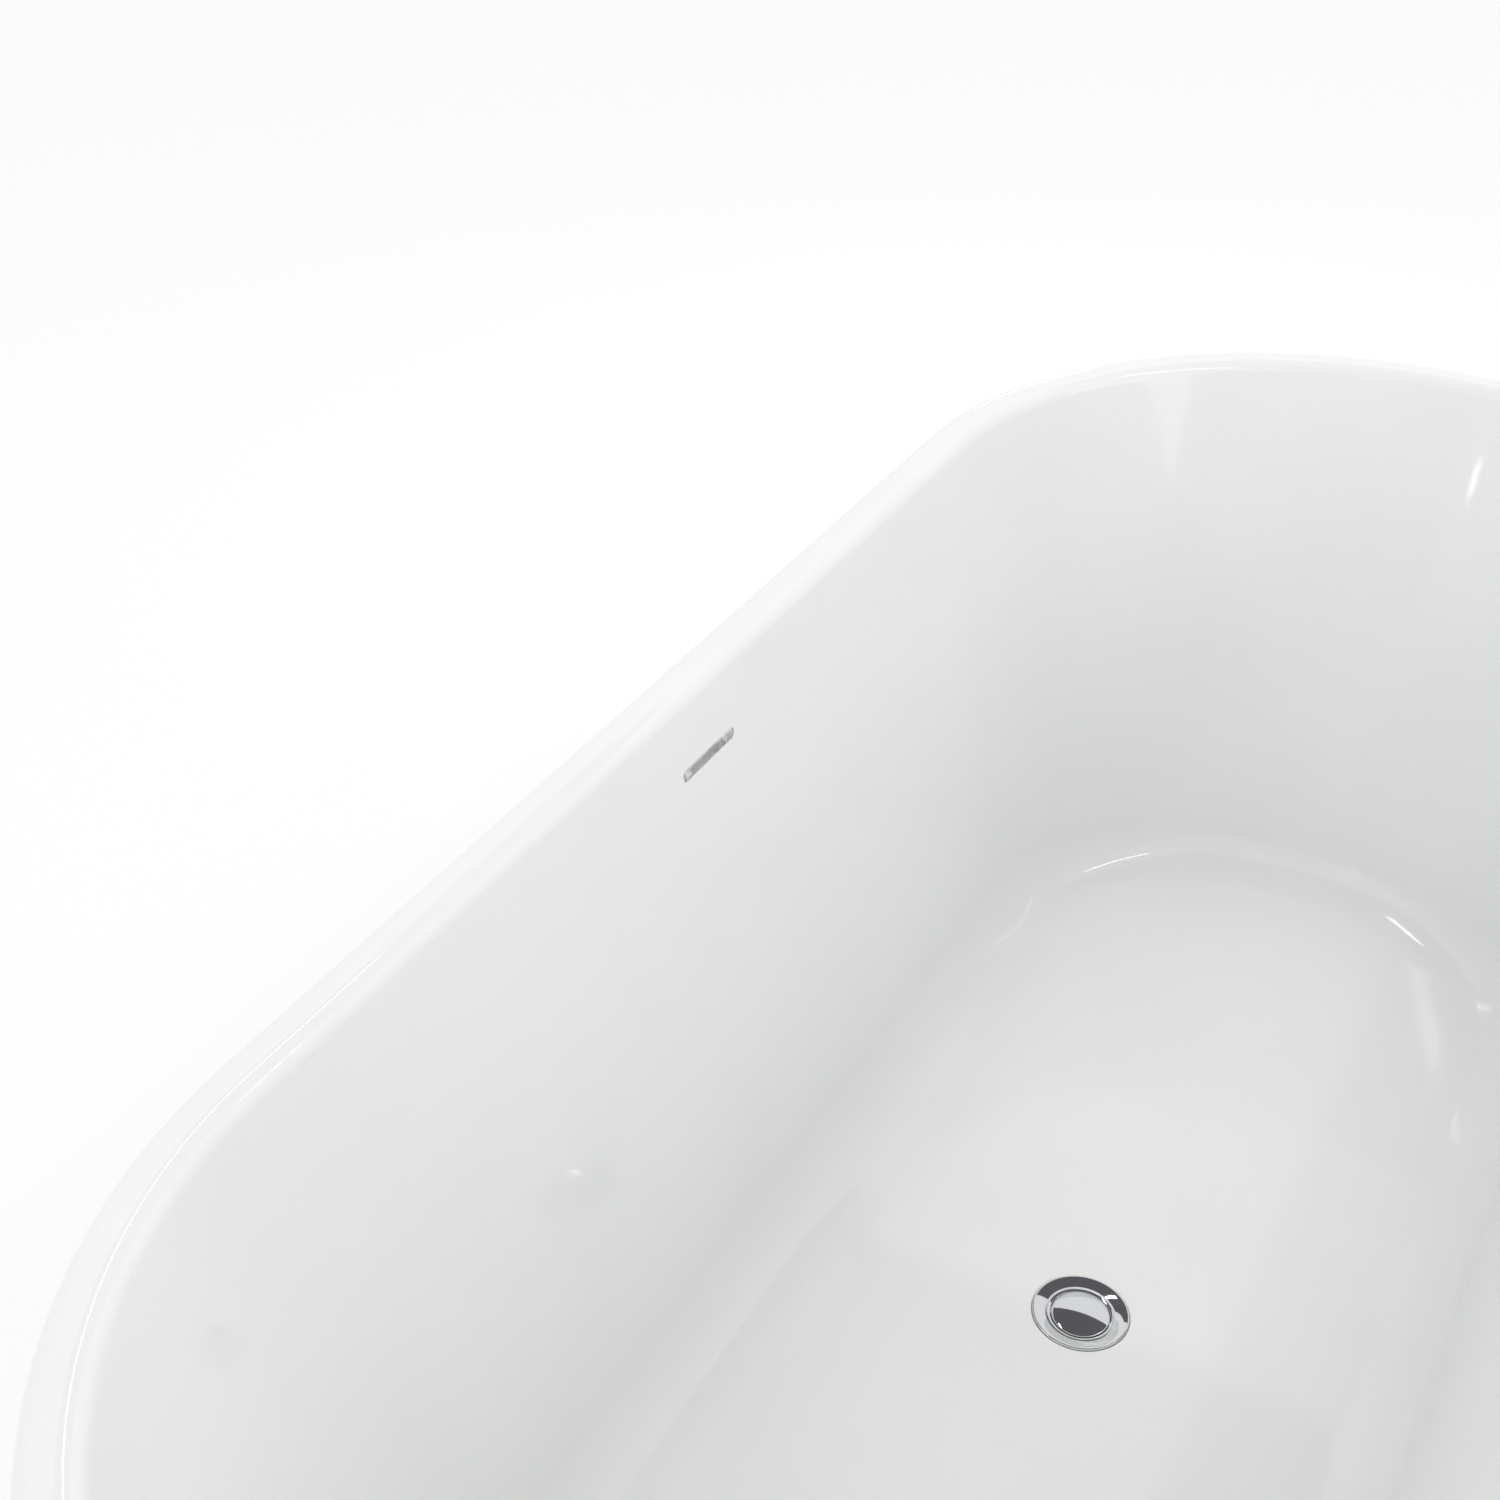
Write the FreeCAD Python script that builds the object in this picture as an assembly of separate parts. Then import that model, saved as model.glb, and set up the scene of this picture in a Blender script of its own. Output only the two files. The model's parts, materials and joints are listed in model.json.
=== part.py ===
import FreeCAD, Part
import math
import os

# Freestanding two-shell bathtub.  Millimetres, +Z up, origin on the floor under the middle of the tub.
# X runs along the tub, the overflow slot is in the long wall on the +Y side.

# ---- overall sizes ----
length = 1700.0
width = 750.0
height = 600.0
floor_height = 135.0          # basin floor above the ground
basin_depth = height - floor_height

# ---- rim and basin ----
rim_width = 31.0
rim_outer_round = 11.0
rim_inner_round = 14.0
lip_height = 32.0
side_lean = 100.0          # how far each long wall leans in, rim to floor
end_lean = 187.0           # how far each end wall leans in, rim to floor
floor_straight_cut = 35.0  # how much shorter the straight side is at the floor, each end
floor_round = 58.0
acrylic = 5.0
laminate_thickness = 3.0
stiffener_height = 12.0
bond_gap = 0.3
glue_line = 0.6

# ---- skirt ----
skirt_floor_gap = 8.0
skirt_side_taper = 70.0
skirt_end_taper = 150.0
skirt_first_share = 0.6    # share of the taper that is straight; the rest curves in towards the floor
skirt_sections = 5
skirt_wall = 5.0
seam_gap = 0.6
rebate_height = 13.0
rebate_wall = 4.0
rebate_root = 16.0
hem_width = 20.0
hem_round = 3.0

# ---- base board and frame ----
board_length = 1000.0
board_width = 310.0
board_thickness = 12.0
board_drain_hole = 120.0
tube_size = 25.0
tube_wall = 1.5
rail_length = 1040.0
rail_y = 135.0
cap_plate = 2.0
cap_plug = 10.0
board_screw_pitch = 300.0
board_screw_radius = 2.0
board_screw_bite = 9.0

# ---- feet ----
foot_x = 430.0
foot_y = 190.0
stud_radius = 6.0
stud_bottom = 7.0
stud_length = 78.0
stud_hex_across = 13.0
stud_hex_height = 8.0
stud_hex_bottom = 17.0
nut_across = 19.0
nut_height = 10.0
lock_nut_height = 7.0
pad_radius = 25.0
pad_height = 13.0
pad_neck_radius = 11.0
sole_thickness = 3.0
running_gap = 0.08
clear_gap = 1.0

# ---- skirt fixings ----
bracket_thickness = 3.0
bracket_width = 40.0
bracket_drop = 26.0
bracket_rise = 32.0
bracket_leg = 55.0
bracket_y = 268.0
block_width = 70.0
bolt_radius = 4.0
bolt_head_across = 13.0
bolt_head_height = 5.5
bolt_nut_height = 6.5
bolt_inset = 30.0
bolt_past_nut = 3.0
screw_head = 2.2              # head radius over shank radius
screw_from_top = 10.0
block_blank = 80.0
block_screw_radius = 2.0
block_screw_length = 16.0
hole_gap = 0.3

# ---- drain ----
flange_radius = 37.5
flange_rim = 2.2
flange_proud = 1.2
flange_dish = 3.2
flange_mouth = 23.2
seat_radius = 20.0
waste_radius = 25.0
waste_length = 52.0
drain_hole_gap = 1.5
flange_gasket_thickness = 1.0
spoke_width = 4.0
spoke_height = 5.0
hub_radius = 6.5
hub_depth = 36.0
flange_slope_end = 1.5        # between the dish and the flange's outer edge
flange_edge = 0.8
thread_lead = 1.0             # chamfer where the waste tube meets the flange
cap_radius = 22.6
cap_crown = 2.2
cap_edge = 2.0
cap_proud = 0.8
seal_thickness = 1.6
seal_inset = 0.6
seal_hole = 6.5
boss_radius = 5.5
boss_length = 3.0
collar_thickness = 2.0
stem_radius = 3.0
cartridge_radius = 5.0
cartridge_wall = 1.2
cartridge_thread = 4.0
cartridge_end = 1.5           # thickness of the cartridge's two ends
cartridge_below_cap = 4.5
spring_clear = 0.1
collar_height = 8.0
spring_wire = 0.8
spring_turns = 6
under_gasket_thickness = 3.0
slip_washer_thickness = 1.5
washer_radius = waste_radius + 10
drain_nut_radius = waste_radius + 11
drain_nut_height = 9.0
drain_nut_lugs = 6
drain_nut_rim = 4.0
lug_depth = 6.0
lug_width = 5.0
slip_washer_gap = 0.5
body_radius = waste_radius + 5
body_top_below_floor = 24.0
body_height = 58.0
port_radius = 11.0
port_length = 31.0
port_above_base = 21.0
tail_radius = 20.0
tail_wall = 2.5
tail_end_height = 18.0
tail_bead = 1.5
tail_socket = 8.0             # depth of the tailpiece's socket in the drain body
tail_entry = 7.5
rib_size = 3.0
port_wall = 2.5
tail_nut_wall = 4.0
tail_nut_grip = 5.0
tail_nut_ribs = 12
tail_washer_thickness = 3.0

# ---- overflow ----
slot_width = 72.0
slot_height = 6.0
slot_below_rim = 56.0
box_width = 90.0
box_above_slot = 14.0
box_below_slot = 168.0
box_depth = 14.0
window_margin = 3.0           # how far the box's opening stands clear of the slot
box_wall = 2.0
funnel_width = 44.0
funnel_height = 34.0
funnel_depth = 32.0
slot_gasket_thickness = 2.0
slot_gasket_border = 6.0
spigot_radius = 11.0
spigot_length = 26.0
spigot_bore = 8.5
hose_inner = 11.3
hose_outer = 14.0
hose_bend = 90.0
clamp_wall = 1.0
clamp_width = 9.0
clamp_gap = 0.25
clamp_housing = 12.0
clamp_height = 8.0
clamp_from_end = 8.0
port_clear = 3.0              # hose end's distance from the drain body
hose_start = 2.0              # hose end's distance below the overflow box

# ---- worked out from the sizes above ----
floor_z = height - basin_depth
lip_bottom = height - lip_height
floor_under = floor_z - acrylic
laminate_under = floor_under - bond_gap - laminate_thickness
board_top = laminate_under - bond_gap
board_under = board_top - board_thickness
rail_under = board_under - tube_size
bar_under = rail_under - tube_size
nut_under = bar_under - nut_height
bar_length = 2 * (bracket_y - bracket_thickness)
body_top = floor_z - body_top_below_floor
body_base = body_top - body_height
port_z = body_base + port_above_base
side_slope = side_lean / basin_depth
end_slope = end_lean / basin_depth
side_angle = math.degrees(math.atan(side_slope))
V = FreeCAD.Vector
UP = V(0, 0, 1)


# ---- shape helpers ----
def quarter(start, corner, end):
    """Quarter of an ellipse from start to end, with its control point at corner."""
    curve = Part.BezierCurve()
    curve.setPoles([start, corner, end])
    curve.setWeight(2, math.sqrt(0.5))
    return curve.toShape()


def oval(half_length, half_width, half_straight, z):
    """Closed outline of two straight sides joined by half ellipses."""
    a, b, s = half_length, half_width, half_straight
    return Part.Wire([
        Part.makeLine(V(-s, -b, z), V(s, -b, z)),
        quarter(V(s, -b, z), V(a, -b, z), V(a, 0, z)),
        quarter(V(a, 0, z), V(a, b, z), V(s, b, z)),
        Part.makeLine(V(s, b, z), V(-s, b, z)),
        quarter(V(-s, b, z), V(-a, b, z), V(-a, 0, z)),
        quarter(V(-a, 0, z), V(-a, -b, z), V(-s, -b, z)),
    ])


def rim_prism(inset, bottom, top):
    """Upright block whose outline is the rim's, drawn in by inset."""
    outline = oval(length / 2 - inset, width / 2 - inset, (length - width) / 2, bottom)
    return Part.Face(outline).extrude(V(0, 0, top - bottom))


def wall_outline(z, offset):
    """Basin wall's outline at height z, moved outwards through the wall by offset."""
    below = height - z
    side = width / 2 - rim_width - side_slope * below + offset * math.hypot(1, side_slope)
    end = length / 2 - rim_width - end_slope * below + offset * math.hypot(1, end_slope)
    straight = (length - width) / 2 - floor_straight_cut * below / basin_depth
    return oval(end, side, straight, z)


def basin_form(offset, top):
    """Solid inside the basin wall moved outwards by offset, with its floor edge rounded."""
    bottom = floor_z - offset
    form = Part.makeLoft([wall_outline(bottom, offset), wall_outline(top, offset)], True, True)
    edges = level_edges(form, bottom)
    return form.makeFillet(floor_round + offset, edges)


def level_edges(shape, z):
    """Edges of shape that lie flat at height z."""
    return [e for e in shape.Edges
            if abs(e.BoundBox.ZMin - z) < 0.01 and abs(e.BoundBox.ZMax - z) < 0.01]


def outline_edges(shape, z, half_width):
    """Flat edges at height z that belong to the outline of the given half width."""
    return [e for e in level_edges(shape, z)
            if abs(max(abs(e.BoundBox.YMin), abs(e.BoundBox.YMax)) - half_width) < 0.5]


def skirt_form(inset, top, bottom):
    """Solid inside the skirt's outer face drawn in by inset, between two heights."""
    run = lip_bottom - skirt_floor_gap
    wires = []
    for k in range(skirt_sections):
        z = top + (bottom - top) * k / (skirt_sections - 1)
        s = (lip_bottom - z) / run
        share = skirt_first_share * s + (1 - skirt_first_share) * s * s
        a = length / 2 - skirt_end_taper * share - inset
        b = width / 2 - skirt_side_taper * share - inset
        wires.append(oval(a, b, a - b, z))
    return Part.makeLoft(wires, True, False)


def box(x, y, z, low):
    return Part.makeBox(x, y, z, low)


def centred_box(x, y, z, cx, cy, bottom):
    return Part.makeBox(x, y, z, V(cx - x / 2, cy - y / 2, bottom))


def cylinder(radius, bottom, top, x=0.0, y=0.0):
    return Part.makeCylinder(radius, top - bottom, V(x, y, bottom))


def ring(outer, inner, bottom, top, x=0.0, y=0.0):
    return cylinder(outer, bottom, top, x, y).cut(cylinder(inner, bottom, top, x, y))


def revolve(points):
    """Solid of revolution about the drain's axis from (radius, z) points."""
    corners = [V(r, 0, z) for r, z in points]
    face = Part.Face(Part.makePolygon(corners + corners[:1]))
    return face.revolve(V(0, 0, 0), UP, 360)


def hexagon(across, bottom, top, x=0.0, y=0.0):
    """Hexagonal prism, given its size across flats."""
    radius = across / math.sqrt(3)
    corners = [V(x + radius * math.cos(math.radians(a)), y + radius * math.sin(math.radians(a)), bottom)
               for a in range(0, 420, 60)]
    return Part.Face(Part.makePolygon(corners)).extrude(V(0, 0, top - bottom))


def on_wall(shape):
    """Move a shape from the slot's own frame (Y out of the wall, Z up the wall) to the tub."""
    y = width / 2 - rim_width - side_slope * slot_below_rim
    place = FreeCAD.Placement(V(0, y, height - slot_below_rim),
                              FreeCAD.Rotation(V(1, 0, 0), -side_angle))
    return shape.transformGeometry(place.toMatrix())


def corners_of(x, y):
    """The four places at (+-x, +-y), with a name for each."""
    return {"front_left": (x, y), "front_right": (x, -y), "back_left": (-x, y), "back_right": (-x, -y)}


def save(name, shapes):
    """Write one node: a solid, or a group of separate solids."""
    solids = [s for shape in shapes for s in shape.Solids]
    body = solids[0] if len(solids) == 1 else Part.makeCompound(solids)
    if not body.isValid():
        raise ValueError("invalid shape: " + name)
    body.exportStep("parts/" + name + ".step")
    print(name, len(solids), round(body.Volume), body.BoundBox)


# ---- shells ----
def slot_cutter(extra):
    """Rounded slot through the wall, in the slot's own frame, grown by extra."""
    half = slot_height / 2 + extra
    run = slot_width / 2 - slot_height / 2
    reach = 6 * acrylic
    shape = box(2 * run, reach, 2 * half, V(-run, -reach / 2, -half))
    for x in (-run, run):
        shape = shape.fuse(Part.makeCylinder(half, reach, V(x, -reach / 2, 0), V(0, 1, 0)))
    return shape.removeSplitter()


def make_basin():
    """Inner tub: wall and floor of one thickness, rolled rim with its lip, slot and drain hole."""
    crown = rim_prism(0, lip_bottom, height)
    channel = rim_prism(acrylic, lip_bottom, height - acrylic)
    channel = channel.makeFillet(rim_outer_round - acrylic, level_edges(channel, height - acrylic))
    shell = crown.cut(channel).fuse(basin_form(acrylic, height - acrylic / 2))
    inside = basin_form(0, height + acrylic)
    shell = shell.cut(inside).removeSplitter()
    inner_width = width / 2 - rim_width
    shell = shell.makeFillet(rim_outer_round, outline_edges(shell, height, width / 2))
    shell = shell.makeFillet(rim_inner_round, outline_edges(shell, height, inner_width))
    hole = cylinder(waste_radius + drain_hole_gap, floor_under, height)
    recess_depth = flange_rim + flange_gasket_thickness - flange_proud
    recess = cylinder(flange_radius + bond_gap, floor_z - recess_depth, height)
    return shell.cut(hole).cut(recess).cut(on_wall(slot_cutter(0)))


def make_laminate():
    """Glass-fibre backing of the basin, open behind the overflow box and at the drain."""
    inner = acrylic + bond_gap
    outer = inner + laminate_thickness
    shell = basin_form(outer, lip_bottom - bond_gap).cut(basin_form(inner, lip_bottom + acrylic))
    hole = cylinder(waste_radius + drain_hole_gap, laminate_under, floor_z)
    margin = window_margin
    window = box(box_width + 2 * margin, 4 * acrylic + box_depth,
                 box_above_slot + box_below_slot + 2 * margin,
                 V(-box_width / 2 - margin, -acrylic, -box_below_slot - margin))
    return shell.cut(hole).cut(on_wall(window))


def make_rim_stiffener():
    """Bonded ring that fills the upper part of the hollow rim."""
    top = height - acrylic - bond_gap
    bottom = top - stiffener_height
    side = rim_outer_round - acrylic
    block = rim_prism(acrylic + bond_gap, bottom, top)
    block = block.makeFillet(side, level_edges(block, top))
    return block.cut(basin_form(acrylic + bond_gap, height))


def make_skirt():
    """Outer shell with a rebate behind the lip of the rim and a hem turned in at the floor."""
    top = lip_bottom - seam_gap
    outer = skirt_form(0, top, skirt_floor_gap)
    outer = outer.makeFillet(hem_round, level_edges(outer, skirt_floor_gap))
    hem_top = skirt_floor_gap + skirt_wall
    inner = skirt_form(skirt_wall, top + 1, hem_top)
    opening = skirt_form(skirt_wall + hem_width, hem_top + 1, skirt_floor_gap - 1)
    shell = outer.cut(inner).cut(opening)
    behind = acrylic + bond_gap
    tongue = rim_prism(behind, top - rebate_root, lip_bottom + rebate_height)
    tongue = tongue.cut(rim_prism(behind + rebate_wall, top - rebate_root, lip_bottom + rebate_height))
    root = rim_prism(rebate_wall, top - rebate_root, top)
    root = root.cut(rim_prism(behind + rebate_wall, top - rebate_root, top))
    return shell.fuse(tongue).fuse(root).removeSplitter()


# ---- board and frame ----
def make_board():
    """Plywood board under the floor, with its drain hole and screw holes."""
    board = centred_box(board_length, board_width, board_thickness, 0, 0, board_under)
    board = board.cut(cylinder(board_drain_hole / 2, board_under, board_top))
    pilot_top = board_under + board_screw_bite + clear_gap / 2
    for x, y in screw_places():
        board = board.cut(cylinder(board_screw_radius + running_gap, board_under, pilot_top, x, y))
    return board


def screw_places():
    """Where the board screws stand on the two rails."""
    return [(x * board_screw_pitch / 2, y * rail_y) for x in (-3, -1, 1, 3) for y in (-1, 1)]


def tube(run, along_x):
    """Square tube, centred on the origin in plan, standing on z = 0."""
    x, y = (run, tube_size) if along_x else (tube_size, run)
    hollow = tube_size - 2 * tube_wall
    ix, iy = (run, hollow) if along_x else (hollow, run)
    return centred_box(x, y, tube_size, 0, 0, 0).cut(centred_box(ix, iy, hollow, 0, 0, tube_wall))


def make_rail(y):
    """Long rail with a screw hole in its top wall and a driver hole in its bottom wall."""
    rail = tube(rail_length, True).translated(V(0, y, rail_under))
    middle = rail_under + tube_size / 2
    for sx, sy in screw_places():
        if sy * y > 0:
            rail = rail.cut(cylinder(board_screw_radius + hole_gap, middle, board_under, sx, sy))
            rail = rail.cut(cylinder(3 * board_screw_radius, rail_under, middle, sx, sy))
    return rail


def make_bar(x):
    """Cross bar with holes for the feet studs and the bracket bolts."""
    bar = tube(bar_length, False).translated(V(x, 0, bar_under))
    for y in (-1, 1):
        bar = bar.cut(cylinder(stud_radius + clear_gap, bar_under, rail_under, x, y * foot_y))
        bar = bar.cut(cylinder(bolt_radius + hole_gap, bar_under, rail_under, x, y * bolt_y()))
    return bar


def bolt_y():
    return bracket_y - bolt_inset


def tube_cap(x, y, z, direction):
    """End cap of a tube whose end face is centred on (x, y, z) and looks along direction."""
    inside = tube_size - 2 * (tube_wall + bond_gap)
    along = V(*direction)
    turn = FreeCAD.Rotation(UP, along)
    plug = box(inside, inside, cap_plug, V(-inside / 2, -inside / 2, -cap_plug))
    plate = box(tube_size, tube_size, cap_plate, V(-tube_size / 2, -tube_size / 2, 0))
    cap = plug.fuse(plate)
    cap.Placement = FreeCAD.Placement(V(x, y, z), turn)
    return cap


def make_end_caps():
    """Plastic caps in the four rail ends."""
    middle = rail_under + tube_size / 2
    return [tube_cap(sx * rail_length / 2, sy * rail_y, middle, (sx, 0, 0))
            for sx in (-1, 1) for sy in (-1, 1)]


def make_board_screws():
    """Pan-head screws, heads inside the rails, shanks in the board."""
    screws = []
    head_top = board_under - tube_wall
    for x, y in screw_places():
        head = cylinder(screw_head * board_screw_radius, head_top - board_screw_radius, head_top, x, y)
        shank = cylinder(board_screw_radius, head_top, board_under + board_screw_bite, x, y)
        screws.append(head.fuse(shank))
    return screws


# ---- feet ----
def make_weld_nut(x, y):
    nut = hexagon(nut_across, nut_under, bar_under, x, y)
    return nut.cut(cylinder(stud_radius + running_gap, nut_under, bar_under, x, y))


def make_lock_nut(x, y):
    nut = hexagon(nut_across, nut_under - lock_nut_height, nut_under, x, y)
    return nut.cut(cylinder(stud_radius + running_gap, nut_under - lock_nut_height, nut_under, x, y))


def make_stud(x, y):
    """Threaded stud with a ball end that turns in the pad and a hexagon for the spanner."""
    shank = cylinder(stud_radius, stud_bottom, stud_bottom + stud_length, x, y)
    shank = shank.makeChamfer(1.0, level_edges(shank, stud_bottom + stud_length))
    grip = hexagon(stud_hex_across, stud_hex_bottom, stud_hex_bottom + stud_hex_height, x, y)
    return shank.fuse(grip)


def make_pad(x, y):
    """Moulded pad: a wide disc, a neck, and the socket of the stud."""
    disc = cylinder(pad_radius, sole_thickness, pad_height / 2 + sole_thickness / 2, x, y)
    neck = Part.makeCone(pad_radius - 2, pad_neck_radius, pad_height - disc.BoundBox.ZMax,
                         V(x, y, disc.BoundBox.ZMax))
    socket = cylinder(stud_radius + running_gap, stud_bottom - bond_gap, pad_height, x, y)
    return disc.fuse(neck).cut(socket)


def make_sole(x, y):
    return cylinder(pad_radius - 1, 0, sole_thickness, x, y)


# ---- skirt fixings ----
def make_bracket(x, side):
    """Angle bracket that stands on a cross bar and carries the skirt's block."""
    y_out = side * bracket_y
    plate = box(bracket_width, bracket_leg, bracket_thickness,
                V(x - bracket_width / 2, min(y_out, y_out - side * bracket_leg), rail_under))
    leg_bottom = rail_under - bracket_drop
    leg = box(bracket_width, bracket_thickness, bracket_drop + bracket_rise,
              V(x - bracket_width / 2, min(y_out, y_out - side * bracket_thickness), leg_bottom))
    hole_top = rail_under + 2 * bracket_thickness
    hole = cylinder(bolt_radius + hole_gap, rail_under, hole_top, x, side * bolt_y())
    shape = plate.fuse(leg).cut(hole)
    for z in block_screw_heights():
        shape = shape.cut(Part.makeCylinder(block_screw_radius + hole_gap, 4 * bracket_thickness,
                                            V(x, y_out - 2 * bracket_thickness, z), V(0, 1, 0)))
    return shape


def block_screw_heights():
    return (rail_under - bracket_drop / 2, rail_under + bracket_rise - screw_from_top)


def make_block(x, side):
    """Timber block bonded to the inside of the skirt, cut to its curve."""
    near = bracket_y + bond_gap
    bottom = rail_under - bracket_drop
    blank = box(block_width, block_blank, bracket_drop + bracket_rise,
                V(x - block_width / 2, near if side > 0 else -near - block_blank, bottom))
    shape = blank.common(skirt_form(skirt_wall + glue_line, lip_bottom, skirt_floor_gap))
    for z in block_screw_heights():
        start = V(x, side * near, z)
        shape = shape.cut(Part.makeCylinder(block_screw_radius + running_gap,
                                            block_screw_length + clear_gap / 2, start, V(0, side, 0)))
    return shape


def make_block_screws(x, side):
    """Wood screws through a bracket's leg into its block."""
    screws = []
    face = bracket_y - bracket_thickness
    for z in block_screw_heights():
        head = Part.makeCylinder(screw_head * block_screw_radius, block_screw_radius,
                                 V(x, side * face, z), V(0, -side, 0))
        shank = Part.makeCylinder(block_screw_radius, bracket_thickness + block_screw_length,
                                  V(x, side * face, z), V(0, side, 0))
        screws.append(head.fuse(shank))
    return screws


def make_bolt(x, y):
    """Bolt through bracket and cross bar, with its nut below the bar."""
    seat = rail_under + bracket_thickness
    head = hexagon(bolt_head_across, seat, seat + bolt_head_height, x, y)
    shank = cylinder(bolt_radius, bar_under - bolt_nut_height - bolt_past_nut, seat, x, y)
    nut = hexagon(bolt_head_across, bar_under - bolt_nut_height, bar_under, x, y)
    nut = nut.cut(cylinder(bolt_radius + running_gap, bar_under - bolt_nut_height, bar_under, x, y))
    return [head.fuse(shank), nut]


# ---- drain ----
def make_drain_flange():
    """Dished ring with the stopper's seat, the threaded waste tube and the spoked hub."""
    top = floor_z + flange_proud
    under = top - flange_rim
    mouth = top - flange_dish
    seat = cap_under() - seal_thickness - bond_gap
    shape = revolve([
        (flange_mouth, mouth), (flange_radius - flange_slope_end, top), (flange_radius, top - flange_edge),
        (flange_radius, under), (waste_radius + thread_lead, under), (waste_radius, under - thread_lead),
        (waste_radius, top - waste_length), (seat_radius, top - waste_length),
        (seat_radius, seat), (flange_mouth, seat),
    ])
    hub_top = floor_z - hub_depth + spoke_height
    hub = cylinder(hub_radius, floor_z - hub_depth, hub_top)
    for turn in (0, 60, 120):
        spoke = box(2 * seat_radius + 1, spoke_width, spoke_height,
                    V(-seat_radius - 0.5, -spoke_width / 2, floor_z - hub_depth))
        spoke.rotate(V(0, 0, 0), UP, turn)
        hub = hub.fuse(spoke)
    bore = cylinder(cartridge_thread + bond_gap / 3, floor_z - hub_depth, hub_top)
    return shape.fuse(hub).cut(bore)


def make_flange_gasket():
    top = floor_z + flange_proud - flange_rim
    return ring(flange_radius - 1, waste_radius + drain_hole_gap + 1, top - flange_gasket_thickness, top)


def make_stopper_cap():
    """Domed cap with a boss below that holds the stem."""
    edge_top = floor_z + cap_proud - cap_crown
    dome_radius = (cap_radius ** 2 + cap_crown ** 2) / (2 * cap_crown)
    dome = Part.makeSphere(dome_radius, V(0, 0, edge_top + cap_crown - dome_radius))
    disc = cylinder(cap_radius, edge_top - cap_edge, edge_top + cap_crown).common(dome)
    boss = ring(boss_radius, stem_radius + bond_gap / 3, cap_under() - boss_length, cap_under())
    return disc.fuse(boss)


def cap_under():
    return floor_z + cap_proud - cap_crown - cap_edge


def make_stopper_seal():
    return ring(cap_radius - seal_inset, seal_hole, cap_under() - seal_thickness, cap_under())


def make_stem():
    """Plunger between the cap and the cartridge, with a collar that rides on the spring."""
    collar = cylinder(cartridge_radius - cartridge_wall - running_gap, stem_collar(),
                      stem_collar() + collar_thickness)
    return cylinder(stem_radius, stem_collar(), cap_under()).fuse(collar)


def cartridge_base():
    return floor_z - hub_depth + spoke_height


def cartridge_top():
    return cap_under() - cartridge_below_cap


def stem_collar():
    return cartridge_base() + collar_height


def make_cartridge():
    """Click cartridge: a sleeve on a threaded foot that screws into the hub."""
    base = cartridge_base()
    body = cylinder(cartridge_radius, base, cartridge_top())
    bore = cylinder(cartridge_radius - cartridge_wall, base + cartridge_end,
                    cartridge_top() - cartridge_end)
    neck = cylinder(stem_radius + running_gap, base + cartridge_end, cartridge_top())
    foot = cylinder(cartridge_thread, base - spoke_height, base)
    return body.fuse(foot).cut(bore).cut(neck)


def make_spring():
    """Coil spring between the cartridge's base and the stem's collar."""
    bottom = cartridge_base() + cartridge_end + spring_wire / 2 + spring_clear
    rise = stem_collar() - spring_wire / 2 - spring_clear - bottom
    radius = cartridge_radius - cartridge_wall - spring_wire / 2 - 0.15
    helix = Part.makeHelix(rise / spring_turns, rise, radius)
    wire = Part.Wire(Part.Circle(V(radius, 0, 0), V(0, 1, 0), spring_wire / 2).toShape())
    coil = Part.Wire(helix).makePipeShell([wire], True, True)
    return coil.translated(V(0, 0, bottom))


def make_drain_nut():
    """Lugged nut that clamps the waste under the floor."""
    top = drain_nut_top()
    nut = ring(drain_nut_radius - drain_nut_rim, waste_radius + running_gap, top - drain_nut_height, top)
    for k in range(drain_nut_lugs):
        lug = box(lug_depth, lug_width, drain_nut_height,
                  V(drain_nut_radius - lug_depth, -lug_width / 2, top - drain_nut_height))
        lug.rotate(V(0, 0, 0), UP, 360 * k / drain_nut_lugs)
        nut = nut.fuse(lug)
    return nut


def drain_nut_top():
    return laminate_under - under_gasket_thickness - slip_washer_thickness


def make_under_gasket():
    return ring(washer_radius, waste_radius + 1, laminate_under - under_gasket_thickness, laminate_under)


def make_slip_washer():
    top = laminate_under - under_gasket_thickness
    under = top - slip_washer_thickness
    return ring(washer_radius - 2 * slip_washer_gap, waste_radius + slip_washer_gap, under, top)


def make_drain_body():
    """Tee below the floor: socket on the waste tube, side port of the overflow, tail socket."""
    body = cylinder(body_radius, body_base, body_top)
    start, reach = V(0, 0, port_z), body_radius + port_length
    port = Part.makeCylinder(port_radius, reach, start, V(0, 1, 0))
    port_bore = Part.makeCylinder(port_radius - port_wall, reach, start, V(0, 1, 0))
    socket = cylinder(waste_radius + running_gap, body_base + tail_socket, body_top)
    tail = cylinder(tail_radius + bond_gap, body_base, body_base + tail_socket)
    return body.fuse(port).cut(port_bore).cut(socket).cut(tail)


def tail_top():
    return body_base + tail_entry


def make_tailpiece():
    """Straight pipe with a stop bead just below its nut."""
    pipe = ring(tail_radius, tail_radius - tail_wall, tail_end_height, tail_top())
    bead_top = tail_nut_under() - bond_gap
    bead = ring(tail_radius + tail_bead, tail_radius - tail_wall, bead_top - 2 * tail_bead, bead_top)
    return pipe.fuse(bead)


def tail_nut_under():
    return body_base - tail_washer_thickness - tail_nut_wall


def make_tail_washer():
    under = body_base - tail_washer_thickness
    return ring(body_radius - bond_gap, tail_radius + bond_gap, under, body_base)


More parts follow.
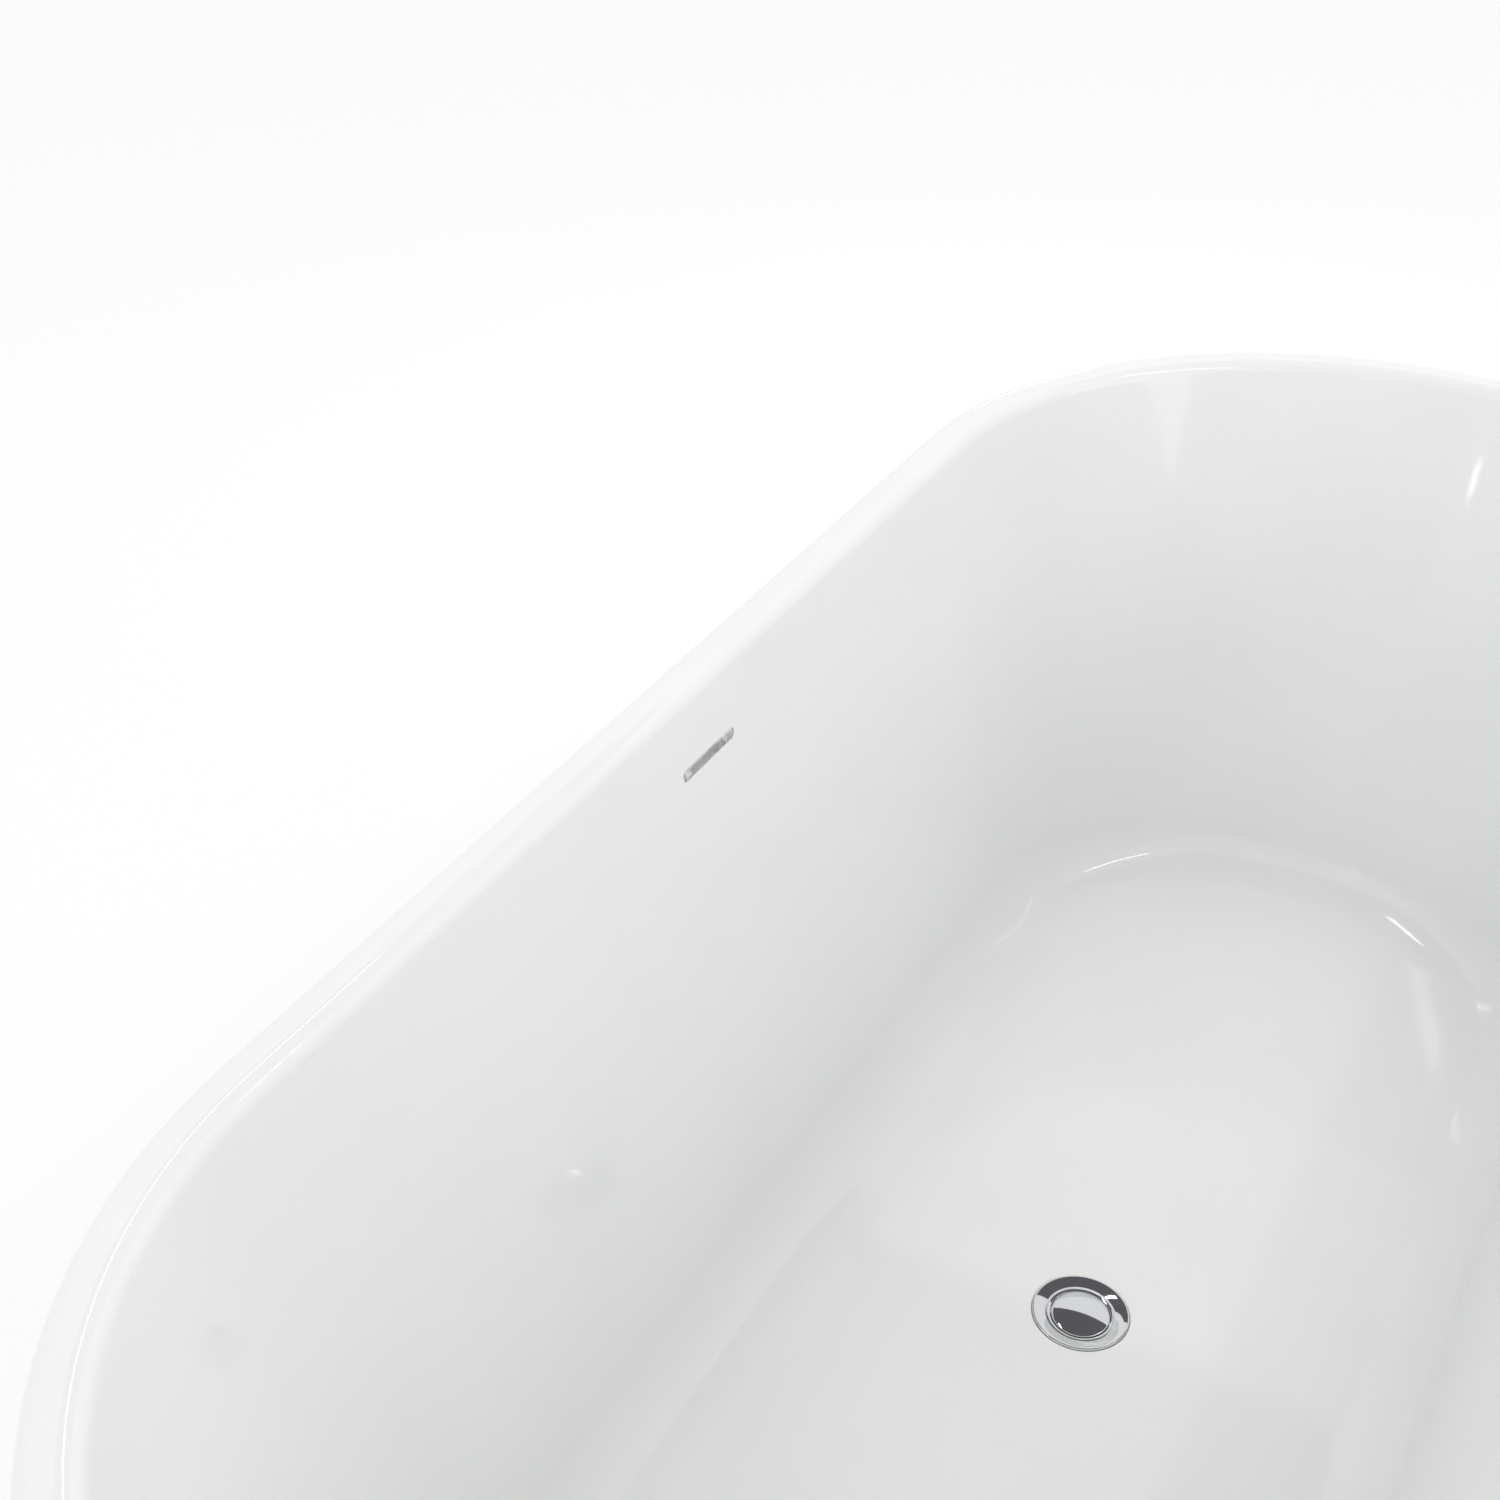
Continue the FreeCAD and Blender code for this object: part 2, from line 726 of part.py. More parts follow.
def make_tail_nut():
    """Ribbed slip nut that holds the washer against the end of the drain body."""
    outer = body_radius + tail_nut_wall
    seat = body_base - tail_washer_thickness
    nut = ring(outer, body_radius + running_gap, seat, body_base + tail_nut_grip)
    nut = nut.fuse(ring(outer, tail_radius + bond_gap, tail_nut_under(), seat))
    for k in range(tail_nut_ribs):
        rib = box(rib_size, rib_size, seat + tail_nut_grip - tail_nut_under(),
                  V(outer - rib_size / 2, -rib_size / 2, tail_nut_under()))
        rib.rotate(V(0, 0, 0), UP, 360 * k / tail_nut_ribs)
        nut = nut.fuse(rib)
    return nut


# ---- overflow ----
def make_overflow_box():
    """Flat box behind the slot that leads the water down to a round spigot."""
    front = acrylic + slot_gasket_thickness
    flat = box(box_width, box_depth, box_above_slot + box_below_slot,
               V(-box_width / 2, front, -box_below_slot))
    funnel = box(funnel_width, funnel_depth, funnel_height, V(-funnel_width / 2, front, -box_below_slot))
    inner_height = box_above_slot + box_below_slot - 2 * box_wall
    hollow = box(box_width - 2 * box_wall, box_depth - 2 * box_wall, inner_height,
                 V(-box_width / 2 + box_wall, front + box_wall, -box_below_slot + box_wall))
    pit = box(funnel_width - 2 * box_wall, funnel_depth - 2 * box_wall, funnel_height - 2 * box_wall,
              V(-funnel_width / 2 + box_wall, front + box_wall, -box_below_slot + box_wall))
    spigot_y = front + funnel_depth - hose_outer
    spigot = Part.makeCylinder(spigot_radius, spigot_length, V(0, spigot_y, -box_below_slot), V(0, 0, -1))
    bore = Part.makeCylinder(spigot_bore, spigot_length + funnel_height / 2,
                             V(0, spigot_y, funnel_height / 2 - box_below_slot), V(0, 0, -1))
    mouth = box(box_width, front + box_wall + window_margin, box_above_slot,
                V(-box_width / 2, 0, -box_above_slot / 2))
    shape = flat.fuse(funnel).fuse(spigot).cut(hollow).cut(pit).cut(bore)
    return on_wall(shape.cut(slot_cutter(window_margin).common(mouth)))


def make_slot_gasket():
    """Rubber frame between the basin's back and the overflow box."""
    high = slot_height + 2 * window_margin + 2 * slot_gasket_border
    wide = slot_width + 2 * slot_gasket_border
    pad = box(wide, slot_gasket_thickness, high, V(-wide / 2, acrylic, -high / 2))
    return on_wall(pad.cut(slot_cutter(window_margin)))


def hose_points():
    """Start, corner and end of the hose's centre line in the plane x = 0."""
    y0 = width / 2 - rim_width - side_slope * slot_below_rim
    slope = math.radians(side_angle)
    out = acrylic + slot_gasket_thickness + funnel_depth - hose_outer
    down = box_below_slot + hose_start
    start = V(0, y0 + out * math.cos(slope) - down * math.sin(slope),
              height - slot_below_rim - out * math.sin(slope) - down * math.cos(slope))
    corner = V(0, start.y - (start.z - port_z) * side_slope, port_z)
    end = V(0, body_radius + port_clear, port_z)
    return start, corner, end


def hose_wire():
    """Centre line: two straight runs joined by one tangent arc."""
    start, corner, end = hose_points()
    first = (corner - start).normalize()
    second = (end - corner).normalize()
    turn = first.getAngle(second)
    back = hose_bend * math.tan(turn / 2)
    enter = corner - first * back
    leave = corner + second * back
    bisector = (second - first).normalize()
    centre = corner + bisector * (hose_bend / math.cos(turn / 2))
    middle = centre - bisector * hose_bend
    return Part.Wire([Part.makeLine(start, enter), Part.Arc(enter, middle, leave).toShape(),
                      Part.makeLine(leave, end)])


def hose_tube(radius):
    start, corner, end = hose_points()
    along = (corner - start).normalize()
    profile = Part.Wire(Part.Circle(start, along, radius).toShape())
    return hose_wire().makePipeShell([profile], True, False)


def make_hose():
    return hose_tube(hose_outer).cut(hose_tube(hose_inner))


def make_clamp(place, along):
    """Worm-drive clip round the hose, with the housing of its screw."""
    inner = hose_outer + clamp_gap
    band = Part.makeCylinder(inner + clamp_wall, clamp_width, place, along)
    housing = box(clamp_height, clamp_housing, clamp_width, V(inner, -clamp_housing / 2, 0))
    turn = FreeCAD.Rotation(V(1, 0, 0), V(0, 0, 0), along, "ZXY")
    housing.Placement = FreeCAD.Placement(place, turn)
    bore = Part.makeCylinder(inner, clamp_width + 2, place - along, along)
    return band.fuse(housing).cut(bore)


# ---- build and write ----
def main():
    os.makedirs("parts", exist_ok=True)
    save("basin", [make_basin()])
    save("basin_laminate", [make_laminate()])
    save("rim_stiffener", [make_rim_stiffener()])
    save("skirt", [make_skirt()])
    save("base_board", [make_board()])
    save("frame_rail_left", [make_rail(rail_y)])
    save("frame_rail_right", [make_rail(-rail_y)])
    save("cross_bar_front", [make_bar(foot_x)])
    save("cross_bar_back", [make_bar(-foot_x)])
    save("rail_end_caps", make_end_caps())
    save("board_screws", make_board_screws())

    feet = corners_of(foot_x, foot_y)
    save("foot_weld_nuts", [make_weld_nut(x, y) for x, y in feet.values()])
    save("foot_lock_nuts", [make_lock_nut(x, y) for x, y in feet.values()])
    for name, (x, y) in feet.items():
        save("foot_stud_" + name, [make_stud(x, y)])
        save("foot_pad_" + name, [make_pad(x, y)])
        save("foot_sole_" + name, [make_sole(x, y)])

    ends = [(x, side) for x in (-foot_x, foot_x) for side in (-1, 1)]
    save("skirt_brackets", [make_bracket(x, side) for x, side in ends])
    save("skirt_blocks", [make_block(x, side) for x, side in ends])
    save("bracket_bolts", [part for x, side in ends for part in make_bolt(x, side * bolt_y())])
    save("block_screws", [screw for x, side in ends for screw in make_block_screws(x, side)])

    save("drain_flange", [make_drain_flange()])
    save("flange_gasket", [make_flange_gasket()])
    save("stopper_cap", [make_stopper_cap()])
    save("stopper_seal", [make_stopper_seal()])
    save("stopper_stem", [make_stem()])
    save("click_cartridge", [make_cartridge()])
    save("cartridge_spring", [make_spring()])
    save("drain_under_gasket", [make_under_gasket()])
    save("drain_slip_washer", [make_slip_washer()])
    save("drain_lock_nut", [make_drain_nut()])
    save("drain_body", [make_drain_body()])
    save("drain_tailpiece", [make_tailpiece()])
    save("tailpiece_washer", [make_tail_washer()])
    save("tailpiece_nut", [make_tail_nut()])

    save("overflow_box", [make_overflow_box()])
    save("slot_gasket", [make_slot_gasket()])
    save("overflow_hose", [make_hose()])
    start, corner, end = hose_points()
    down = (corner - start).normalize()
    save("hose_clamp_upper", [make_clamp(start + down * clamp_from_end, down)])
    save("hose_clamp_lower", [make_clamp(end + V(0, clamp_from_end, 0), V(0, 1, 0))])


main()
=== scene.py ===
import json
import logging
import math
from dataclasses import dataclass, field
from enum import Enum
from functools import partial
from typing import Callable, Iterable

import bmesh
import bpy
from bmesh.types import BMEdge, BMesh, BMVert
from mathutils import Matrix, Vector


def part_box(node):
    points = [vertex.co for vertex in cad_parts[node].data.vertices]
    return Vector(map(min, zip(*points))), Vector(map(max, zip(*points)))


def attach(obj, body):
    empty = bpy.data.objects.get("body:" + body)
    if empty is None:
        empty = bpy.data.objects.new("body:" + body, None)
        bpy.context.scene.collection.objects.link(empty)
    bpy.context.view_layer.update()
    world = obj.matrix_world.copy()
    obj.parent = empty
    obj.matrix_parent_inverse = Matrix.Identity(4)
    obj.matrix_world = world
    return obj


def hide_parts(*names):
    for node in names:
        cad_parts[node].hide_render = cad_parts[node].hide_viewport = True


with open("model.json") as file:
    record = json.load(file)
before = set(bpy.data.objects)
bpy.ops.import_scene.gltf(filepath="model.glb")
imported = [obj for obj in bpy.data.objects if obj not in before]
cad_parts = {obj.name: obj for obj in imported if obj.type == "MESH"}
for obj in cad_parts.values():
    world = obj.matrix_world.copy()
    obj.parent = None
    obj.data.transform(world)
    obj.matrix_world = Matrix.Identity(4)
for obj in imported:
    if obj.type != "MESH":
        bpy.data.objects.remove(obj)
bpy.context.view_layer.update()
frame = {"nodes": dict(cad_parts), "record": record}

log = logging.getLogger("bathtub")
MM = 0.001
SAME_PLACE = 1e-6
X_AXIS = Vector((1, 0, 0))
Z_AXIS = Vector((0, 0, 1))


# ---------------------------------------------------------------- mesh helpers
def verts_of(geometry: Iterable) -> list[BMVert]:
    """The vertices in an operator's output."""
    return [g for g in geometry if isinstance(g, BMVert)]


def edges_of(geometry: Iterable) -> list[BMEdge]:
    """The edges in an operator's output."""
    return [g for g in geometry if isinstance(g, BMEdge)]


def extrude_loop(bm: BMesh, edges: list[BMEdge]) -> tuple[list[BMEdge], list[BMVert]]:
    """Extrudes a loop of edges in place.

    Args:
        bm: The mesh.
        edges: The loop.

    Returns:
        The new loop's edges and vertices, still where the old ones are.
    """
    geometry = bmesh.ops.extrude_edge_only(bm, edges=edges)["geom"]
    verts = verts_of(geometry)
    fresh = set(verts)
    return [e for e in edges_of(geometry) if e.verts[0] in fresh and e.verts[1] in fresh], verts


def spin_profile(points: list[tuple[float, float]], steps: int, centre: Vector,
                 axis: Vector = Z_AXIS, side: Vector = X_AXIS) -> BMesh:
    """Turns an open outline of (radius, height) points into a closed solid of revolution.

    Args:
        points: The outline; it starts and ends on the axis, or it closes on itself.
        steps: How many segments the full turn has.
        centre: Where radius and height are 0.
        axis: The axis of revolution.
        side: The direction in which the radius is drawn.

    Returns:
        The mesh, with its normals outwards.
    """
    bm = bmesh.new()
    corners = [bm.verts.new(centre + side * r + axis * h) for r, h in points]
    closed = all(r > SAME_PLACE for r, _ in (points[0], points[-1]))
    pairs = list(zip(corners, corners[1:])) + ([(corners[-1], corners[0])] if closed else [])
    edges = [bm.edges.new(pair) for pair in pairs]
    bmesh.ops.spin(bm, geom=corners + edges, cent=centre, axis=axis, angle=2 * math.pi,
                   steps=steps, use_merge=True, use_duplicate=False, dvec=(0, 0, 0))
    bmesh.ops.remove_doubles(bm, verts=bm.verts, dist=SAME_PLACE)
    bmesh.ops.recalc_face_normals(bm, faces=bm.faces)
    return bm


def arc_points(centre: tuple[float, float], radius: float, start: float, end: float,
               steps: int) -> list[tuple[float, float]]:
    """Points on an arc in an outline's plane, both ends included; angles in degrees.

    Args:
        centre: The arc's centre.
        radius: Its radius.
        start: Where it starts, in degrees.
        end: Where it ends, in degrees.
        steps: How many segments it has.

    Returns:
        The points.
    """
    angles = [math.radians(start + (end - start) * k / steps) for k in range(steps + 1)]
    return [(centre[0] + radius * math.cos(a), centre[1] + radius * math.sin(a)) for a in angles]


def sharpen(bm: BMesh, degrees: float) -> None:
    """Smooth shading everywhere but across edges that turn by more than an angle.

    Args:
        bm: The mesh.
        degrees: The angle.
    """
    for face in bm.faces:
        face.smooth = True
    for edge in bm.edges:
        edge.smooth = edge.calc_face_angle(0.0) < math.radians(degrees)


def make_piece(name: str, bm: BMesh, finish: "Finish", body: str, nodes: Iterable[str],
               sharp: float = 35.0) -> bpy.types.Object:
    """Turns a mesh into a piece that rides on a body and stands for its CAD nodes.

    Args:
        name: The piece's name.
        bm: Its mesh, freed here.
        finish: What it is made of.
        body: The CAD body that it moves with.
        nodes: The CAD nodes that it stands for.
        sharp: Edges that turn by more than this many degrees stay sharp.

    Returns:
        The new object.
    """
    sharpen(bm, sharp)
    mesh = bpy.data.meshes.new(name)
    bm.to_mesh(mesh)
    bm.free()
    mesh.materials.append(finish.material())
    piece = bpy.data.objects.new(name, mesh)
    bpy.context.scene.collection.objects.link(piece)
    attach(piece, body)
    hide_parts(*nodes)
    log.info("%s: %d faces, rides on %s", name, len(mesh.polygons), body)
    return piece


def weigh_normals(piece: bpy.types.Object) -> None:
    """Lets large flat faces set the shading next to narrow rounds.

    Args:
        piece: The piece to shade.
    """
    modifier = piece.modifiers.new("weighted", "WEIGHTED_NORMAL")
    modifier.keep_sharp = True
    modifier.weight = 50


# ---------------------------------------------------------------- finishes
def linear(code: str) -> tuple[float, float, float, float]:
    """An sRGB hex colour, such as "F4F5F3", as linear red, green, blue and alpha."""
    channels = [int(code[k:k + 2], 16) / 255 for k in (0, 2, 4)]
    return (*[c / 12.92 if c <= 0.04045 else ((c + 0.055) / 1.055) ** 2.4 for c in channels], 1.0)


class Nodes:
    """A material's node tree while it is being built."""

    def __init__(self, name: str) -> None:
        """Starts a material with a plain shader and its Object coordinates."""
        self.material = bpy.data.materials.new(name)
        self.material.use_nodes = True
        self.tree = self.material.node_tree
        self.shader = self.tree.nodes["Principled BSDF"]
        self.place = self.add("ShaderNodeTexCoord").outputs["Object"]

    def add(self, kind: str, settings: dict | None = None,
            links: dict | None = None) -> bpy.types.Node:
        """Adds one node.

        Args:
            kind: The node's type.
            settings: Values of its properties or, where the name is a socket's, of its inputs.
            links: Input names to the output sockets that feed them.

        Returns:
            The node.
        """
        node = self.tree.nodes.new(kind)
        for key, value in (settings or {}).items():
            if isinstance(key, int) or key in node.inputs:
                node.inputs[key].default_value = value
            else:
                setattr(node, key, value)
        for key, output in (links or {}).items():
            self.tree.links.new(output, node.inputs[key])
        return node

    def link(self, output: bpy.types.NodeSocket, name: str) -> None:
        """Feeds one of the shader's inputs."""
        self.tree.links.new(output, self.shader.inputs[name])

    def set(self, **values: float | tuple) -> None:
        """Sets the shader's own inputs; an underscore stands for a space."""
        for key, value in values.items():
            self.shader.inputs[key.replace("_", " ")].default_value = value

    def ramp(self, factor: bpy.types.NodeSocket, stops: list[tuple[float, str]]) -> bpy.types.NodeSocket:
        """A colour ramp with hex stops, and the colour that it gives.

        Args:
            factor: What runs along the ramp.
            stops: Positions from 0 to 1 with their hex colours.

        Returns:
            The colour's socket.
        """
        node = self.add("ShaderNodeValToRGB", links={"Fac": factor})
        ends = node.color_ramp.elements
        while len(ends) < len(stops):
            ends.new(0.5)
        for element, (position, code) in zip(ends, stops):
            element.position = position
            element.color = linear(code)
        return node.outputs["Color"]

    def spread(self, factor: bpy.types.NodeSocket, low: float, high: float) -> bpy.types.NodeSocket:
        """Maps 0 to 1 onto low to high."""
        return self.add("ShaderNodeMapRange", {"To Min": low, "To Max": high},
                        {"Value": factor}).outputs["Result"]

    def bump(self, height: bpy.types.NodeSocket, depth_mm: float, strength: float = 1.0) -> None:
        """Raises the surface by up to a depth in millimetres.

        Args:
            height: The pattern, from 0 to 1.
            depth_mm: The depth.
            strength: The share of it that shows.
        """
        node = self.add("ShaderNodeBump", {"Strength": strength, "Distance": depth_mm * MM},
                        {"Height": height})
        self.link(node.outputs["Normal"], "Normal")

    def noise(self, size_mm: float, detail: float = 2.0, stretch: tuple[float, float, float] = (1, 1, 1),
              rough: float = 0.5) -> bpy.types.NodeSocket:
        """Noise whose blobs are about size_mm across, drawn out along an axis by a stretch below 1.

        Args:
            size_mm: Width of a blob.
            detail: How many finer layers it has.
            stretch: Scale along each axis.
            rough: How strong the finer layers are.

        Returns:
            The noise's socket, from 0 to 1.
        """
        mapping = self.add("ShaderNodeMapping", {"Scale": stretch}, {"Vector": self.place})
        node = self.add("ShaderNodeTexNoise",
                        {"Scale": 1 / (size_mm * MM), "Detail": detail, "Roughness": rough},
                        {"Vector": mapping.outputs["Vector"]})
        return node.outputs["Fac"]


@dataclass(frozen=True)
class Finish:
    """What a piece is made of. A material is built once and shared."""

    name: str
    colour: str = "F2F2F2"
    roughness: float = 0.4
    metallic: float = 0.0
    ior: float = 1.5

    def material(self) -> bpy.types.Material:
        """The finished material, built on first use.

        Returns:
            The material.
        """
        found = bpy.data.materials.get(self.name)
        if found:
            return found
        nodes = Nodes(self.name)
        nodes.set(Base_Color=linear(self.colour), Roughness=self.roughness, Metallic=self.metallic)
        if not self.metallic:
            nodes.set(IOR=self.ior)
        self.pattern(nodes)
        return nodes.material

    def pattern(self, nodes: Nodes) -> None:
        """Adds what makes the surface more than one colour; a plain finish adds nothing."""


@dataclass(frozen=True)
class SanitaryAcrylic(Finish):
    """Vacuum-formed cast acrylic sheet: neutral white, a wet gloss, the faintest waviness from the mould."""

    wave_mm: float = 22.0
    wave_depth_mm: float = 0.02

    def pattern(self, nodes: Nodes) -> None:
        """A slow swell in the surface and a trace of uneven polish.

        Args:
            nodes: The material being built.
        """
        nodes.set(Specular_IOR_Level=0.5)
        shade = nodes.noise(160.0, 2.0)
        nodes.link(nodes.ramp(shade, [(0.3, self.colour), (0.7, "EBECEB")]), "Base Color")
        polish = nodes.noise(45.0, 3.0)
        nodes.link(nodes.spread(polish, self.roughness * 0.8, self.roughness * 1.25), "Roughness")
        nodes.bump(nodes.noise(self.wave_mm, 1.0), self.wave_depth_mm, 0.5)


@dataclass(frozen=True)
class ChromePlate(Finish):
    """Chrome plate on polished brass: a mirror with a faint polishing haze."""

    haze_mm: float = 4.0

    def pattern(self, nodes: Nodes) -> None:
        """Slightly uneven polish and drying marks.

        Args:
            nodes: The material being built.
        """
        haze = nodes.noise(self.haze_mm, 3.0)
        nodes.link(nodes.spread(haze, self.roughness * 0.6, self.roughness * 1.8), "Roughness")
        nodes.bump(nodes.noise(9.0, 1.0), 0.004, 0.4)


@dataclass(frozen=True)
class GlassFibre(Finish):
    """Sprayed chopped-strand laminate: matt resin with strands 20 to 30 mm long lying every way."""

    strand_mm: float = 2.2

    def pattern(self, nodes: Nodes) -> None:
        """Two crossing layers of strands under uneven resin.

        Args:
            nodes: The material being built.
        """
        along = nodes.noise(self.strand_mm, 4.0, (1.0, 0.12, 0.6))
        across = nodes.noise(self.strand_mm, 4.0, (0.12, 1.0, 0.4))
        both = nodes.add("ShaderNodeMath", {"operation": "MAXIMUM"}, {0: along, 1: across}).outputs["Value"]
        nodes.link(nodes.ramp(both, [(0.35, "A9A58C"), (0.6, self.colour), (0.8, "E9E6D6")]), "Base Color")
        nodes.bump(both, 0.6)


@dataclass(frozen=True)
class Plywood(Finish):
    """Birch plywood: pale rotary-cut faces and edges striped by plies 1.5 mm thick."""

    ply_mm: float = 1.5
    grain_mm: float = 3.0

    def pattern(self, nodes: Nodes) -> None:
        """Grain along the board on the faces, plies round the edges.

        Args:
            nodes: The material being built.
        """
        grain = nodes.noise(self.grain_mm, 5.0, (0.06, 1.0, 1.0), 0.65)
        face = nodes.ramp(grain, [(0.3, "B58F5E"), (0.55, self.colour), (0.8, "DEC193")])
        split = nodes.add("ShaderNodeSeparateXYZ", links={"Vector": nodes.place}).outputs["Z"]
        wave = nodes.add("ShaderNodeMath", {"operation": "MULTIPLY", 1: math.pi / (self.ply_mm * MM)},
                         {0: split}).outputs["Value"]
        plies = nodes.add("ShaderNodeMath", {"operation": "SINE"}, {0: wave}).outputs["Value"]
        edge = nodes.ramp(nodes.spread(plies, 0.5, 1.0), [(0.35, "8C6A41"), (0.65, "D2B184")])
        normal = nodes.add("ShaderNodeNewGeometry").outputs["Normal"]
        up = nodes.add("ShaderNodeSeparateXYZ", links={"Vector": normal}).outputs["Z"]
        flat = nodes.add("ShaderNodeMath", {"operation": "ABSOLUTE"}, {0: up}).outputs["Value"]
        mix = nodes.add("ShaderNodeMix", {"data_type": "RGBA"}, {0: flat, 6: edge, 7: face})
        nodes.link(mix.outputs[2], "Base Color")
        nodes.bump(grain, 0.12)


@dataclass(frozen=True)
class PowderCoat(Finish):
    """Baked polyester powder on steel: satin, with an orange peel of about 1.5 mm."""

    peel_mm: float = 1.5

    def pattern(self, nodes: Nodes) -> None:
        """Orange peel and slight shade changes.

        Args:
            nodes: The material being built.
        """
        peel = nodes.noise(self.peel_mm, 2.0)
        nodes.link(nodes.ramp(nodes.noise(60.0, 3.0), [(0.3, self.colour), (0.8, "5A5D60")]), "Base Color")
        nodes.bump(peel, 0.05, 0.8)


@dataclass(frozen=True)
class DrawnMetal(Finish):
    """Bare or plated metal from a lathe, a press or a rolling mill: fine lines and mottled sheen."""

    line_mm: float = 0.5
    second: str = "A9ADB0"

    def pattern(self, nodes: Nodes) -> None:
        """Mottled plating with fine tool lines along Z.

        Args:
            nodes: The material being built.
        """
        mottle = nodes.noise(6.0, 4.0)
        nodes.link(nodes.ramp(mottle, [(0.3, self.second), (0.7, self.colour)]), "Base Color")
        nodes.link(nodes.spread(mottle, self.roughness * 0.8, self.roughness * 1.3), "Roughness")
        nodes.bump(nodes.noise(self.line_mm, 2.0, (1.0, 1.0, 0.15)), 0.02, 0.6)


@dataclass(frozen=True)
class MouldedPlastic(Finish):
    """Injection-moulded plastic: spark-eroded texture of about 0.4 mm and slow flow marks."""

    grain_mm: float = 0.4
    flow: str = "E4E4E0"

    def pattern(self, nodes: Nodes) -> None:
        """Fine grain and cloudy flow.

        Args:
            nodes: The material being built.
        """
        nodes.link(nodes.ramp(nodes.noise(25.0, 3.0), [(0.3, self.flow), (0.7, self.colour)]), "Base Color")
        sheen = nodes.noise(8.0, 2.0)
        nodes.link(nodes.spread(sheen, self.roughness * 0.85, self.roughness * 1.15), "Roughness")
        nodes.bump(nodes.noise(self.grain_mm, 1.0), 0.02, 0.5)


class Slot(Enum):
    """The finish of each of the record's material slots."""

    ACRYLIC = ("acrylic",
               SanitaryAcrylic("cast acrylic, vacuum formed, high gloss", "EDEEED", 0.06, 0.0, 1.49))
    GLASS_FIBRE = ("glass_fibre", GlassFibre("glass fibre laminate, sprayed", "CFCBB4", 0.62, 0.0, 1.55))
    PLYWOOD = ("plywood", Plywood("birch plywood, sanded", "CBA877", 0.6, 0.0, 1.5))
    FRAME_PAINT = ("frame_paint", PowderCoat("steel tube, powder coated", "4C4F52", 0.42, 0.0, 1.5))
    BLACK_NYLON = ("black_nylon",
                   MouldedPlastic("nylon, moulded, black", "1B1B1C", 0.45, 0.0, 1.53, 0.4, "151516"))
    RUBBER = ("rubber",
              MouldedPlastic("EPDM rubber, moulded, black", "161616", 0.75, 0.0, 1.52, 0.6, "1F1F1F"))
    CHROME = ("chrome", ChromePlate("brass, chrome plated and polished", "D5D6D8", 0.035, 1.0))
    BRASS = ("brass", DrawnMetal("brass, turned", "C9A35A", 0.3, 1.0, 1.5, 0.4, "B08A45"))
    STAINLESS = ("stainless", DrawnMetal("stainless steel, rolled", "C4C6C8", 0.28, 1.0, 1.5, 0.4, "AEB1B4"))
    WHITE_ABS = ("white_abs", MouldedPlastic("ABS, moulded, white", "EDEDE9", 0.38, 0.0, 1.54))
    HOSE_PVC = ("hose_pvc",
                MouldedPlastic("PVC hose, extruded, grey", "B9BCBE", 0.42, 0.0, 1.53, 0.8, "AEB1B3"))
    ZINC_STEEL = ("zinc_steel", DrawnMetal("steel, zinc plated", "BFC5C9", 0.34, 1.0, 1.5, 0.5, "A3AAB0"))

    @property
    def label(self) -> str:
        """The slot's name in the record."""
        return self.value[0]

    @property
    def finish(self) -> Finish:
        """The slot's finish."""
        return self.value[1]


# ---------------------------------------------------------------- oval shells
@dataclass(frozen=True)
class Station:
    """One ring of an oval shell, given where it crosses the side plane and the end plane.

    run is the distance in from the rim's outline and z the height; straight is half the straight side.
    """

    side_run: float
    side_z: float
    end_run: float
    end_z: float
    straight: float


